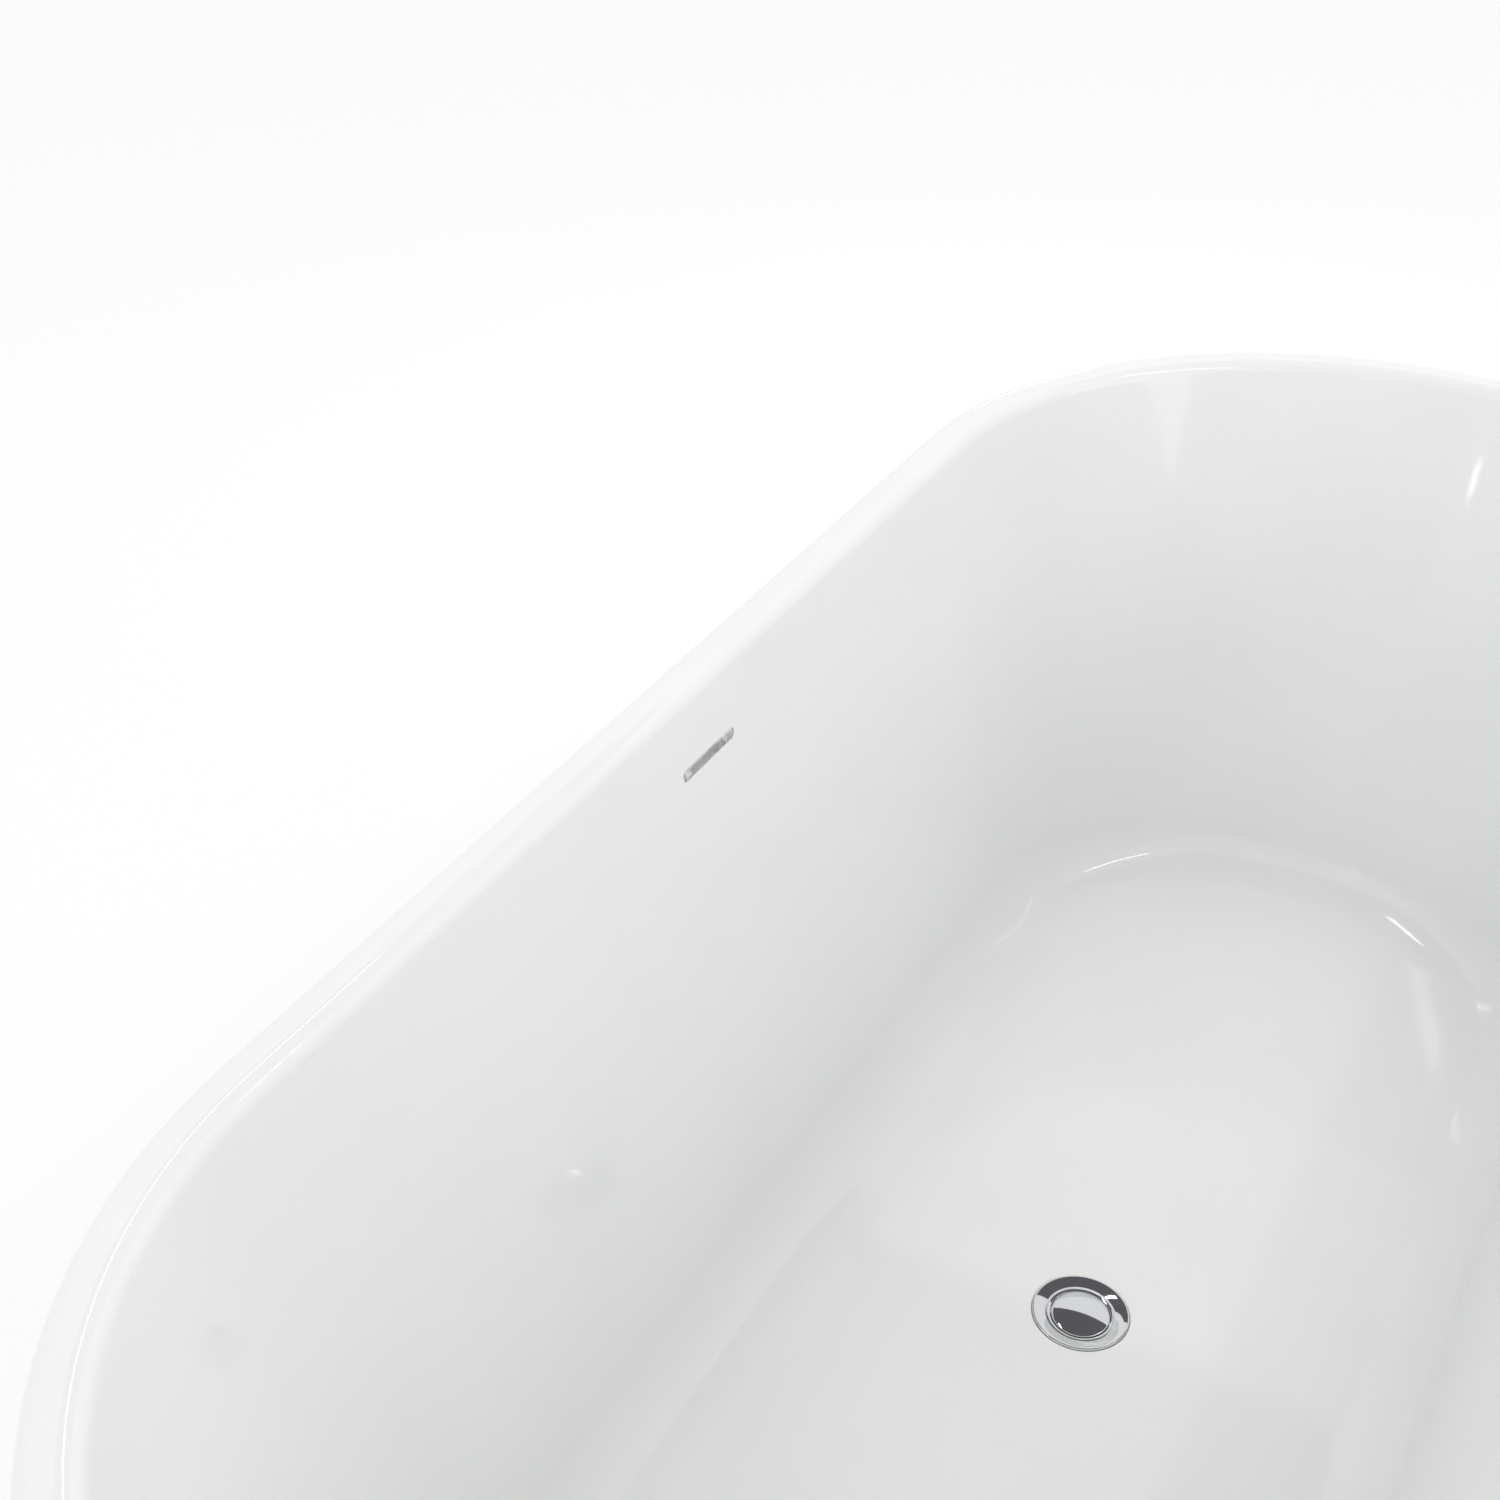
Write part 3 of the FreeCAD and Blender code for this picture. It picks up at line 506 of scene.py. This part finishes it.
@dataclass(frozen=True)
class Oval:
    """The rim's outline: two straight sides joined by half circles."""

    half_length: float
    half_width: float
    end_steps: int = 56
    side_steps: int = 30

    @property
    def straight(self) -> float:
        """Half the length of a straight side."""
        return self.half_length - self.half_width

    def outline(self, bm: BMesh) -> list[BMEdge]:
        """Draws the outline at height 0 and notes each vertex's own place on it.

        Args:
            bm: The mesh to draw in.

        Returns:
            The closed loop of edges.
        """
        for sign in (1, -1):
            start = bm.verts.new((sign * self.straight, -sign * self.half_width, 0))
            bmesh.ops.spin(bm, geom=[start], cent=(sign * self.straight, 0, 0), axis=Z_AXIS,
                           angle=math.pi, steps=self.end_steps, use_merge=False,
                           use_duplicate=False, dvec=(0, 0, 0))
        bm.verts.ensure_lookup_table()
        for sign in (1, -1):
            ends = [min(bm.verts, key=lambda v: (v.co - Vector((x, sign * self.half_width, 0))).length)
                    for x in (-self.straight, self.straight)]
            edge = bm.edges.new(ends)
            bmesh.ops.subdivide_edges(bm, edges=[edge], cuts=self.side_steps - 1)
        layer = bm.verts.layers.float_vector.new("outline")
        for vert in bm.verts:
            vert[layer] = vert.co
        return list(bm.edges)

    def point(self, home: Vector, station: Station) -> Vector:
        """Where a point of the outline goes on a ring.

        Args:
            home: The point's place on the outline.
            station: The ring.

        Returns:
            Its place on the ring.
        """
        beyond = abs(home.x) - self.straight
        y_reach = self.half_width - station.side_run
        if beyond <= SAME_PLACE:
            return Vector((home.x * station.straight / self.straight, math.copysign(y_reach, home.y),
                           station.side_z))
        c, s = beyond / self.half_width, home.y / self.half_width
        x_reach = self.half_length - station.end_run - station.straight
        return Vector((math.copysign(station.straight + c * x_reach, home.x), s * y_reach,
                       station.side_z * s * s + station.end_z * c * c))

    def shell(self, rings: list[Callable[[Vector], Vector]]) -> BMesh:
        """Builds a closed shell from rings that run round a closed section.

        Args:
            rings: For each ring, in order, where a point of the outline goes on it.

        Returns:
            The mesh, with its normals outwards.
        """
        bm = bmesh.new()
        edges = self.outline(bm)
        layer = bm.verts.layers.float_vector["outline"]
        verts = list(bm.verts)
        for ring in rings:
            if ring is not rings[0]:
                edges, verts = extrude_loop(bm, edges)
            for vert in verts:
                vert.co = ring(vert[layer])
        _, verts = extrude_loop(bm, edges)
        for vert in verts:
            vert.co = rings[0](vert[layer])
        bmesh.ops.remove_doubles(bm, verts=bm.verts, dist=SAME_PLACE)
        bmesh.ops.recalc_face_normals(bm, faces=bm.faces)
        return bm


@dataclass(frozen=True)
class Wall:
    """Section of the basin's wall in one plane, between the rim's crown and the floor."""

    lean: float
    depth: float
    top: float
    rim_width: float
    outer_round: float
    inner_round: float
    floor_round: float

    @property
    def angle(self) -> float:
        """How far the wall leans from upright, in radians."""
        return math.atan2(self.lean, self.depth)

    def section(self, offset: float, lip: float, steps: "SectionSteps") -> list[tuple[float, float]]:
        """Points (run, z) from the lip's lower edge over the crown and down to the flat floor.

        Args:
            offset: How far behind the visible face the section lies.
            lip: Height of the lip below the crown.
            steps: How many points each stretch has.

        Returns:
            The points, as many for one offset as for another.
        """
        a, t = self.angle, offset
        outer, inner, floor = self.outer_round - t, self.inner_round - t, self.floor_round + t
        degrees = math.degrees(a)
        crown = self.rim_width - self.inner_round / math.tan((math.pi / 2 + a) / 2)
        foot = self.rim_width + self.lean + self.floor_round / math.tan((math.pi / 2 + a) / 2)
        floor_z = self.top - self.depth
        points = [(t, self.top - lip + (lip - self.outer_round) * k / steps.lip) for k in range(steps.lip)]
        points += arc_points((self.outer_round, self.top - self.outer_round), outer, 180, 90, steps.outer)
        points += arc_points((crown, self.top - self.inner_round), inner, 90, degrees, steps.inner)
        down = arc_points((foot, floor_z + self.floor_round), floor, 180 + degrees, 270, steps.floor)
        above, below = points[-1], down[0]
        points += [(above[0] + (below[0] - above[0]) * k / steps.wall,
                    above[1] + (below[1] - above[1]) * k / steps.wall) for k in range(1, steps.wall)]
        return points + down


@dataclass(frozen=True)
class SectionSteps:
    """How many segments each stretch of the basin's section has."""

    lip: int = 3
    outer: int = 8
    inner: int = 10
    wall: int = 24
    floor: int = 18


@dataclass
class Basin:
    """The inner tub: rolled rim, leaning walls, rounded flat floor, drain seat and overflow slot."""

    acrylic: float = 5.0 * MM
    rim_width: float = 31.0 * MM
    outer_round: float = 11.0 * MM
    inner_round: float = 14.0 * MM
    lip: float = 32.0 * MM
    side_lean: float = 100.0 * MM
    end_lean: float = 187.0 * MM
    straight_cut: float = 35.0 * MM
    floor_round: float = 58.0 * MM
    slot_width: float = 72.0 * MM
    slot_height: float = 6.0 * MM
    slot_below_rim: float = 56.0 * MM
    slot_round: float = 1.2 * MM
    seat_radius: float = 37.8 * MM
    seat_depth: float = 2.0 * MM
    hole_radius: float = 26.5 * MM
    seat_round: float = 0.8 * MM
    steps: SectionSteps = field(default_factory=SectionSteps)
    floor_rings: int = 9
    patch: float = 14.0 * MM
    face_play: float = 0.5 * MM
    lip_turns: int = 4

    def __post_init__(self) -> None:
        """Reads the overall sizes from the frame."""
        low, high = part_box("basin")
        self.top = high.z
        self.depth = high.z - low.z - self.acrylic
        self.oval = Oval(high.x, high.y)

    def wall(self, lean: float) -> Wall:
        """The section in the plane where the wall leans in by lean."""
        return Wall(lean, self.depth, self.top, self.rim_width, self.outer_round, self.inner_round,
                    self.floor_round)

    def stations(self, offset: float) -> list[Station]:
        """Rings of the face that lies offset behind the visible one.

        Args:
            offset: The distance.

        Returns:
            The rings, from the lip down to the flat floor.
        """
        side = self.wall(self.side_lean).section(offset, self.lip, self.steps)
        end = self.wall(self.end_lean).section(offset, self.lip, self.steps)
        rings = []
        for (side_run, side_z), (end_run, end_z) in zip(side, end):
            below = max(0.0, min(self.top - side_z, self.depth))
            straight = self.oval.straight - self.straight_cut * below / self.depth
            rings.append(Station(side_run, side_z, end_run, end_z, straight))
        return rings

    def floor_point(self, home: Vector, edge: Station, share: float, radius: float, z: float) -> Vector:
        """Where a point of the outline goes on a floor ring.

        Args:
            home: The point's place on the outline.
            edge: The ring where the floor's flat part begins.
            share: 0 for that ring, 1 for a circle round the drain.
            radius: The circle's radius.
            z: The circle's height.

        Returns:
            Its place on the floor ring.
        """
        start = self.oval.point(home, edge)
        turn = math.atan2(start.y / self.oval.half_width, start.x / self.oval.half_length)
        return start.lerp(Vector((radius * math.cos(turn), radius * math.sin(turn), z)), share)

    def rings(self) -> list[Callable[[Vector], Vector]]:
        """Every ring of the basin: down the visible face, through the drain hole and up the back.

        Returns:
            For each ring, where a point of the outline goes on it.
        """
        front, back = self.stations(0.0), self.stations(self.acrylic)
        floor_z, r = self.top - self.depth, self.seat_round
        seat = arc_points((self.seat_radius + r, floor_z - r), r, 90, 180, 4)
        seat += [(self.seat_radius, floor_z - self.seat_depth), (self.hole_radius, floor_z - self.seat_depth)]
        radius, z = seat[0]
        under = floor_z - self.acrylic
        shares = [k / self.floor_rings for k in range(1, self.floor_rings)]
        rings = [partial(self.oval.point, station=station) for station in front]
        rings += [partial(self.floor_point, edge=front[-1], share=k, radius=radius, z=z) for k in shares]
        rings += [partial(self.floor_point, edge=front[-1], share=1.0, radius=r_k, z=z_k)
                  for r_k, z_k in seat]
        rings += [partial(self.floor_point, edge=back[-1], share=k, radius=self.hole_radius, z=under)
                  for k in [1.0] + shares[::-1]]
        return rings + [partial(self.oval.point, station=station) for station in back[::-1]]

    def slot_frame(self) -> Matrix:
        """The slot's own frame: X along the wall, Y out through it, Z up it.

        Returns:
            The frame's place in the tub.
        """
        run = self.rim_width + self.side_lean * self.slot_below_rim / self.depth
        place = Matrix.Translation((0, self.oval.half_width - run, self.top - self.slot_below_rim))
        return place @ Matrix.Rotation(-self.wall(self.side_lean).angle, 4, "X")

    def open_slot(self, bm: BMesh) -> None:
        """Opens the overflow slot through both faces of the wall, with rounded lips.

        Args:
            bm: The basin's closed shell.
        """
        to_slot = self.slot_frame().inverted()
        reach = Vector((self.slot_width / 2 + self.patch, 0, self.slot_height / 2 + self.patch))
        rims = []
        for depth in (0.0, self.acrylic):
            faces = []
            for face in bm.faces:
                place = to_slot @ face.calc_center_median()
                if (abs(place.y - depth) < self.face_play and abs(place.x) < reach.x
                        and abs(place.z) < reach.z):
                    faces.append(face)
            edge_count = {}
            for face in faces:
                for edge in face.edges:
                    edge_count[edge] = edge_count.get(edge, 0) + 1
            rims.append([edge for edge, count in edge_count.items() if count == 1])
            bmesh.ops.delete(bm, geom=faces, context="FACES")
        front = self.slot_loop(bm, self.slot_round, 0.0)
        bmesh.ops.bridge_loops(bm, edges=rims[0] + front)
        edges = front
        for k in range(1, self.lip_turns + 1):
            angle = math.pi / 2 * k / self.lip_turns
            grow = self.slot_round * (1 - math.sin(angle))
            edges = self.next_slot_loop(bm, edges, grow, self.slot_round * (1 - math.cos(angle)))
        edges = self.next_slot_loop(bm, edges, 0.0, self.acrylic)
        bmesh.ops.bridge_loops(bm, edges=rims[1] + edges)

    def slot_point(self, place: Vector, grow: float, depth: float) -> Vector:
        """Where a point of the slot's outline, given on its middle line's frame, goes in the tub.

        Args:
            place: The point in the slot's own frame.
            grow: How far the outline has grown.
            depth: How far behind the wall's face it lies.

        Returns:
            Its place in the tub.
        """
        half = self.slot_height / 2
        core = Vector((max(-self.slot_width / 2 + half, min(self.slot_width / 2 - half, place.x)), 0, 0))
        flat = Vector((place.x, 0, place.z))
        away = (flat - core).normalized()
        return self.slot_frame() @ (core + away * (half + grow) + Vector((0, depth, 0)))

    def slot_loop(self, bm: BMesh, grow: float, depth: float) -> list[BMEdge]:
        """Draws the slot's outline, grown by grow, at a depth behind the wall's face.

        Args:
            bm: The mesh to draw in.
            grow: How far the outline has grown.
            depth: The depth.

        Returns:
            The closed loop of edges.
        """
        half = self.slot_height / 2
        run = self.slot_width / 2 - half
        before = set(bm.edges)
        place = self.slot_frame()
        for sign in (1, -1):
            start = bm.verts.new(place @ Vector((sign * run, depth, -sign * (half + grow))))
            bmesh.ops.spin(bm, geom=[start], cent=place @ Vector((sign * run, depth, 0)),
                           axis=place.to_3x3() @ Vector((0, -1, 0)), angle=math.pi, steps=10,
                           use_merge=False, use_duplicate=False, dvec=(0, 0, 0))
        arcs = [e for e in bm.edges if e not in before]
        ends = [v for e in arcs for v in e.verts if len(v.link_edges) == 1]
        tops = [v for v in ends if (place.inverted() @ v.co).z > 0]
        bottoms = [v for v in ends if v not in tops]
        straight = [bm.edges.new(pair) for pair in (tops, bottoms)]
        bmesh.ops.subdivide_edges(bm, edges=straight, cuts=7)
        return [e for e in bm.edges if e not in before]

    def next_slot_loop(self, bm: BMesh, edges: list[BMEdge], grow: float, depth: float) -> list[BMEdge]:
        """Extrudes the slot's outline on to another size and depth.

        Args:
            bm: The mesh.
            edges: The outline.
            grow: How far the next one has grown.
            depth: How far behind the wall's face it lies.

        Returns:
            The next outline's edges.
        """
        edges, verts = extrude_loop(bm, edges)
        back = self.slot_frame().inverted()
        for vert in verts:
            vert.co = self.slot_point(back @ vert.co, grow, depth)
        return edges

    def build(self) -> bpy.types.Object:
        """Builds the basin as one closed shell and dresses it.

        Returns:
            The finished piece.
        """
        bm = self.oval.shell(self.rings())
        self.open_slot(bm)
        bmesh.ops.recalc_face_normals(bm, faces=bm.faces)
        piece = make_piece("basin_shell", bm, Slot.ACRYLIC.finish, "root", ["basin"], 40)
        weigh_normals(piece)
        return piece


@dataclass
class Skirt:
    """The outer shell: bellied walls that draw in towards the floor, a rebate at the top, a hem below."""

    side_taper: float = 70.0 * MM
    end_taper: float = 150.0 * MM
    first_share: float = 0.6
    wall: float = 5.0 * MM
    lip_bottom: float = 568.0 * MM
    seam: float = 0.6 * MM
    rebate: float = 13.0 * MM
    rebate_wall: float = 4.0 * MM
    rebate_inset: float = 5.3 * MM
    rebate_root: float = 16.0 * MM
    hem: float = 20.0 * MM
    hem_round: float = 3.0 * MM
    edge_round: float = 0.8 * MM
    wall_steps: int = 26

    def __post_init__(self) -> None:
        """Reads the overall sizes from the frame."""
        low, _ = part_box("skirt")
        _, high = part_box("basin")
        self.bottom = low.z
        self.oval = Oval(high.x, high.y)

    def station(self, z: float, inset: float) -> Station:
        """The ring that lies inset behind the outer face at height z.

        Args:
            z: The height.
            inset: The distance behind the face.

        Returns:
            The ring.
        """
        s = max(0.0, (self.lip_bottom - z) / (self.lip_bottom - self.bottom))
        share = self.first_share * s + (1 - self.first_share) * s * s
        side = self.side_taper * share + inset
        end = self.end_taper * share + inset
        straight = self.oval.straight - (end - side)
        return Station(side, z, end, z, straight)

    def upright(self, z: float, inset: float) -> Station:
        """A ring of the rebate, which is parallel to the rim."""
        return Station(inset, z, inset, z, self.oval.straight)

    def build(self) -> bpy.types.Object:
        """Builds the skirt as one closed shell and dresses it.

        Returns:
            The finished piece.
        """
        top, bottom = self.lip_bottom - self.seam, self.bottom
        rings = []
        for run, rise in arc_points((self.edge_round, -self.edge_round), self.edge_round, 90, 180, 3):
            rings.append(self.station(top + rise, run))
        low = bottom + self.hem_round
        high = top - self.edge_round
        rings += [self.station(high + (low - high) * k / self.wall_steps, 0.0)
                  for k in range(1, self.wall_steps)]
        for run, rise in arc_points((self.hem_round, self.hem_round), self.hem_round, 180, 270, 5):
            rings.append(self.station(bottom + rise, run))
        inside = self.wall + self.hem
        rings += [self.station(bottom, inside), self.station(bottom + self.wall, inside),
                  self.station(bottom + self.wall, self.wall)]
        root = top - self.rebate_root
        ledge = bottom + self.wall
        rings += [self.station(ledge + (root - ledge) * k / self.wall_steps, self.wall)
                  for k in range(1, self.wall_steps)]
        behind = self.rebate_inset + self.rebate_wall
        crest = self.lip_bottom + self.rebate
        rings += [self.station(root, self.wall), self.upright(root + 1 * MM, behind),
                  self.upright(crest, behind), self.upright(crest, self.rebate_inset),
                  self.upright(top, self.rebate_inset)]
        bm = self.oval.shell([partial(self.oval.point, station=ring) for ring in rings])
        piece = make_piece("skirt_shell", bm, Slot.ACRYLIC.finish, "root", ["skirt"],
                           40)
        weigh_normals(piece)
        return piece


# ---------------------------------------------------------------- drain
@dataclass
class DrainTrim:
    """The polished pieces in the floor: the dished flange and the domed stopper cap."""

    flange_radius: float = 37.5 * MM
    rim: float = 2.2 * MM
    dish: float = 3.2 * MM
    mouth: float = 23.2 * MM
    mouth_round: float = 0.7 * MM
    tube: float = 25.0 * MM
    bore: float = 20.0 * MM
    cap_radius: float = 22.6 * MM
    cap_crown: float = 2.2 * MM
    cap_edge: float = 2.0 * MM
    cap_round: float = 0.7 * MM
    turn_steps: int = 128
    dome_steps: int = 16
    dome_share: float = 0.97
    brim: float = 1.1 * MM
    seal_play: float = 0.3 * MM
    thread_pitch: float = 1.5 * MM
    thread_depth: float = 0.7 * MM
    slope_steps: int = 10
    slope_power: float = 1.25
    hub_height: float = 5.0 * MM
    spoke_width: float = 4.0 * MM
    stem_socket: float = 5.5 * MM

    def flange(self) -> bpy.types.Object:
        """The flange with its threaded tube and the seat of the stopper.

        Returns:
            The finished piece.
        """
        low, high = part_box("drain_flange")
        seal_low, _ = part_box("stopper_seal")
        top, under = high.z, high.z - self.rim
        seat = seal_low.z - self.seal_play
        brim = self.brim
        outline = arc_points((self.flange_radius - brim, top - brim), brim, 0, 80, 8)
        slope_in, slope_z = self.mouth + self.mouth_round, top - self.dish
        start_r, start_z = outline[-1]
        shares = [k / self.slope_steps for k in range(1, self.slope_steps)]
        outline += [(start_r + (slope_in - start_r) * share,
                     start_z + (slope_z - start_z) * share ** self.slope_power) for share in shares]
        outline += arc_points((slope_in, slope_z - self.mouth_round), self.mouth_round, 80, 180, 5)
        outline += [(self.mouth, seat), (self.bore, seat), (self.bore, low.z), (self.tube, low.z)]
        thread = self.thread_pitch
        turns = int((under - 2 * MM - low.z) / thread)
        for k in range(turns):
            z = low.z + k * thread
            outline += [(self.tube, z + 0.1 * thread), (self.tube - self.thread_depth, z + 0.5 * thread),
                        (self.tube, z + 0.9 * thread)]
        outline += [(self.tube, under - 1 * MM), (self.tube + 1 * MM, under),
                    (self.flange_radius - 0.4 * MM, under), (self.flange_radius, under + 0.4 * MM)]
        bm = spin_profile(outline, self.turn_steps, Vector((0, 0, 0)))
        self.add_hub(bm, low.z)
        return make_piece("drain_flange_ring", bm, Slot.CHROME.finish, "root", ["drain_flange"],
                          35)

    def add_hub(self, bm: BMesh, base: float) -> None:
        """Adds the spoked hub that carries the click cartridge.

        Args:
            bm: The flange's mesh.
        """
        cartridge_low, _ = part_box("click_cartridge")
        height, width = self.hub_height, self.spoke_width
        z = cartridge_low.z + height / 2
        for turn in range(3):
            place = Matrix.Rotation(math.radians(60 * turn), 4, "Z") @ Matrix.Translation((0, 0, z))
            size = Matrix.Diagonal((2 * self.bore, width, height, 1))
            bmesh.ops.create_cube(bm, size=1.0, matrix=place @ size)

    def cap(self) -> bpy.types.Object:
        """The stopper's cap: a shallow dome with a small rolled edge.

        Returns:
            The finished piece.
        """
        low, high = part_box("stopper_cap")
        r = self.cap_round
        crown = high.z
        edge = crown - self.cap_crown
        sphere = (self.cap_radius ** 2 + self.cap_crown ** 2) / (2 * self.cap_crown)
        reach = [self.cap_radius * k / self.dome_steps * self.dome_share
                 for k in range(self.dome_steps + 1)]
        dome = [(x, crown - sphere + math.sqrt(sphere ** 2 - x ** 2)) for x in reach]
        last = dome[-1]
        outline = dome + arc_points((self.cap_radius - r, last[1] - r - 0.05 * MM), r, 70, 0, 5)
        outline += [(self.cap_radius, edge - self.cap_edge + 0.3 * MM),
                    (self.cap_radius - 0.3 * MM, edge - self.cap_edge),
                    (self.stem_socket, edge - self.cap_edge),
                    (self.stem_socket, low.z), (0.0, low.z)]
        bm = spin_profile(outline, self.turn_steps, Vector((0, 0, 0)))
        return make_piece("stopper_cap_dome", bm, Slot.CHROME.finish, "stopper", ["stopper_cap"],
                          35)


# ---------------------------------------------------------------- scene round the tub
@dataclass(frozen=True)
class Lamp:
    """One rectangular softbox; sizes in metres, power in watts."""

    name: str
    place: tuple[float, float, float]
    aim: tuple[float, float, float]
    size: tuple[float, float]
    power: float


@dataclass
class Studio:
    """Pale floor, soft light and the camera. None of it is part of the tub."""

    floor_size: float = 40.0
    floor_colour: str = "FBFBFB"
    world_strength: float = 0.99
    eye: tuple[float, float, float] = (-1.0492, -0.2469, 0.7224)
    azimuth: float = 0.5157
    pitch: float = 0.6314
    lens: float = 47.58
    shift: tuple[float, float] = (0.0400, 0.0759)
    flag_low: tuple[float, float] = (-0.9, -1.0)
    flag_high: tuple[float, float] = (2.15, 1.6)
    flag_height: float = 2.6
    lamps: tuple[Lamp, ...] = (
        Lamp("strip_left", (0.68, 0.86, 2.4), (0.68, 0.0, 0.14), (0.7, 0.08), 1.8),
        Lamp("strip_right", (0.5, -1.28, 2.4), (0.5, 0.0, 0.14), (1.3, 0.07), 2.8),
        Lamp("softbox_near", (-2.6, 1.8, 2.6), (0.0, 0.0, 0.3), (2.0, 2.0), 3.0),
        Lamp("softbox_low", (0.3, -3.0, 1.6), (0.3, 0.375, 0.45), (2.4, 1.0), 8.5),
        Lamp("sparkle_far", (2.54, 1.07, 1.28), (0.4, -0.2, 0.14), (0.3, 0.12), 0.9),
        Lamp("sparkle_near", (-2.01, 1.02, 1.56), (0.8, 0.0, 0.53), (0.08, 0.08), 0.15),
    )

    def floor(self) -> None:
        """A large plain floor under the tub."""
        bm = bmesh.new()
        bmesh.ops.create_grid(bm, x_segments=1, y_segments=1, size=self.floor_size / 2)
        mesh = bpy.data.meshes.new("studio_floor")
        bm.to_mesh(mesh)
        bm.free()
        mesh.materials.append(Finish("painted studio floor", self.floor_colour, 0.7).material())
        floor = bpy.data.objects.new("studio_floor", mesh)
        bpy.context.scene.collection.objects.link(floor)

    def world(self) -> None:
        """An even white surround."""
        world = bpy.data.worlds.new("studio")
        world.use_nodes = True
        background = world.node_tree.nodes["Background"]
        background.inputs["Color"].default_value = linear("FFFFFF")
        background.inputs["Strength"].default_value = self.world_strength
        bpy.context.scene.world = world

    def area(self, lamp: Lamp) -> None:
        """One rectangular softbox that looks at a point.

        Args:
            lamp: What it is and where it stands.
        """
        light = bpy.data.lights.new(lamp.name, "AREA")
        light.shape = "RECTANGLE"
        light.size, light.size_y = lamp.size
        light.energy = lamp.power
        stand = bpy.data.objects.new(lamp.name, light)
        stand.location = lamp.place
        aim = Vector(lamp.aim) - Vector(lamp.place)
        stand.rotation_euler = aim.to_track_quat("-Z", "Y").to_euler()
        bpy.context.scene.collection.objects.link(stand)

    def lights(self) -> None:
        """Two narrow strips overhead, two soft lamps and two small ones that add sparkle."""
        for lamp in self.lamps:
            self.area(lamp)

    def flag(self) -> None:
        """A grey panel overhead that only reflections see, for the polished metal to mirror."""
        bm = bmesh.new()
        low, high = self.flag_low, self.flag_high
        size = Matrix.Diagonal((high[0] - low[0], high[1] - low[1], 1, 1))
        centre = Matrix.Translation(((low[0] + high[0]) / 2, (low[1] + high[1]) / 2, self.flag_height))
        bmesh.ops.create_grid(bm, x_segments=1, y_segments=1, size=0.5, matrix=centre @ size)
        mesh = bpy.data.meshes.new("studio_flag")
        bm.to_mesh(mesh)
        bm.free()
        mesh.materials.append(Finish("grey studio cloth", "606063", 0.9).material())
        panel = bpy.data.objects.new("studio_flag", mesh)
        bpy.context.scene.collection.objects.link(panel)
        panel.visible_camera = panel.visible_diffuse = panel.visible_shadow = False

    def camera(self) -> None:
        """A camera over the near end of the tub, looking down its length."""
        camera = bpy.data.cameras.new("camera")
        camera.sensor_width = 36.0
        camera.lens, camera.shift_x, camera.shift_y = self.lens, *self.shift
        camera.clip_start = 0.01
        eye = bpy.data.objects.new("camera", camera)
        _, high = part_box("basin")
        eye.location = (self.eye[0], self.eye[1], high.z + self.eye[2])
        look = Vector((math.cos(self.azimuth) * math.cos(self.pitch),
                       math.sin(self.azimuth) * math.cos(self.pitch), -math.sin(self.pitch)))
        eye.rotation_euler = look.to_track_quat("-Z", "Y").to_euler()
        bpy.context.scene.collection.objects.link(eye)
        bpy.context.scene.camera = eye

    def build(self) -> None:
        """Sets the whole stage."""
        self.floor()
        self.world()
        self.flag()
        self.lights()
        self.camera()
        bpy.context.scene.view_settings.view_transform = "Standard"


def dress_frame() -> None:
    """Gives every CAD node the finish of its slot in the record."""
    finishes = {slot.label: slot.finish for slot in Slot}
    slots = {part["node"]: part["material_slot"] for part in frame["record"]["subparts"]}
    for name, node in frame["nodes"].items():
        for material_slot in node.material_slots:
            material_slot.material = finishes[slots[name]].material()


def main() -> None:
    """Builds the tub around the frame, then the stage."""
    logging.basicConfig(level=logging.INFO, format="%(name)s: %(message)s")
    dress_frame()
    Basin().build()
    Skirt().build()
    trim = DrainTrim()
    trim.flange()
    trim.cap()
    Studio().build()


if __name__ == "__main__":
    main()
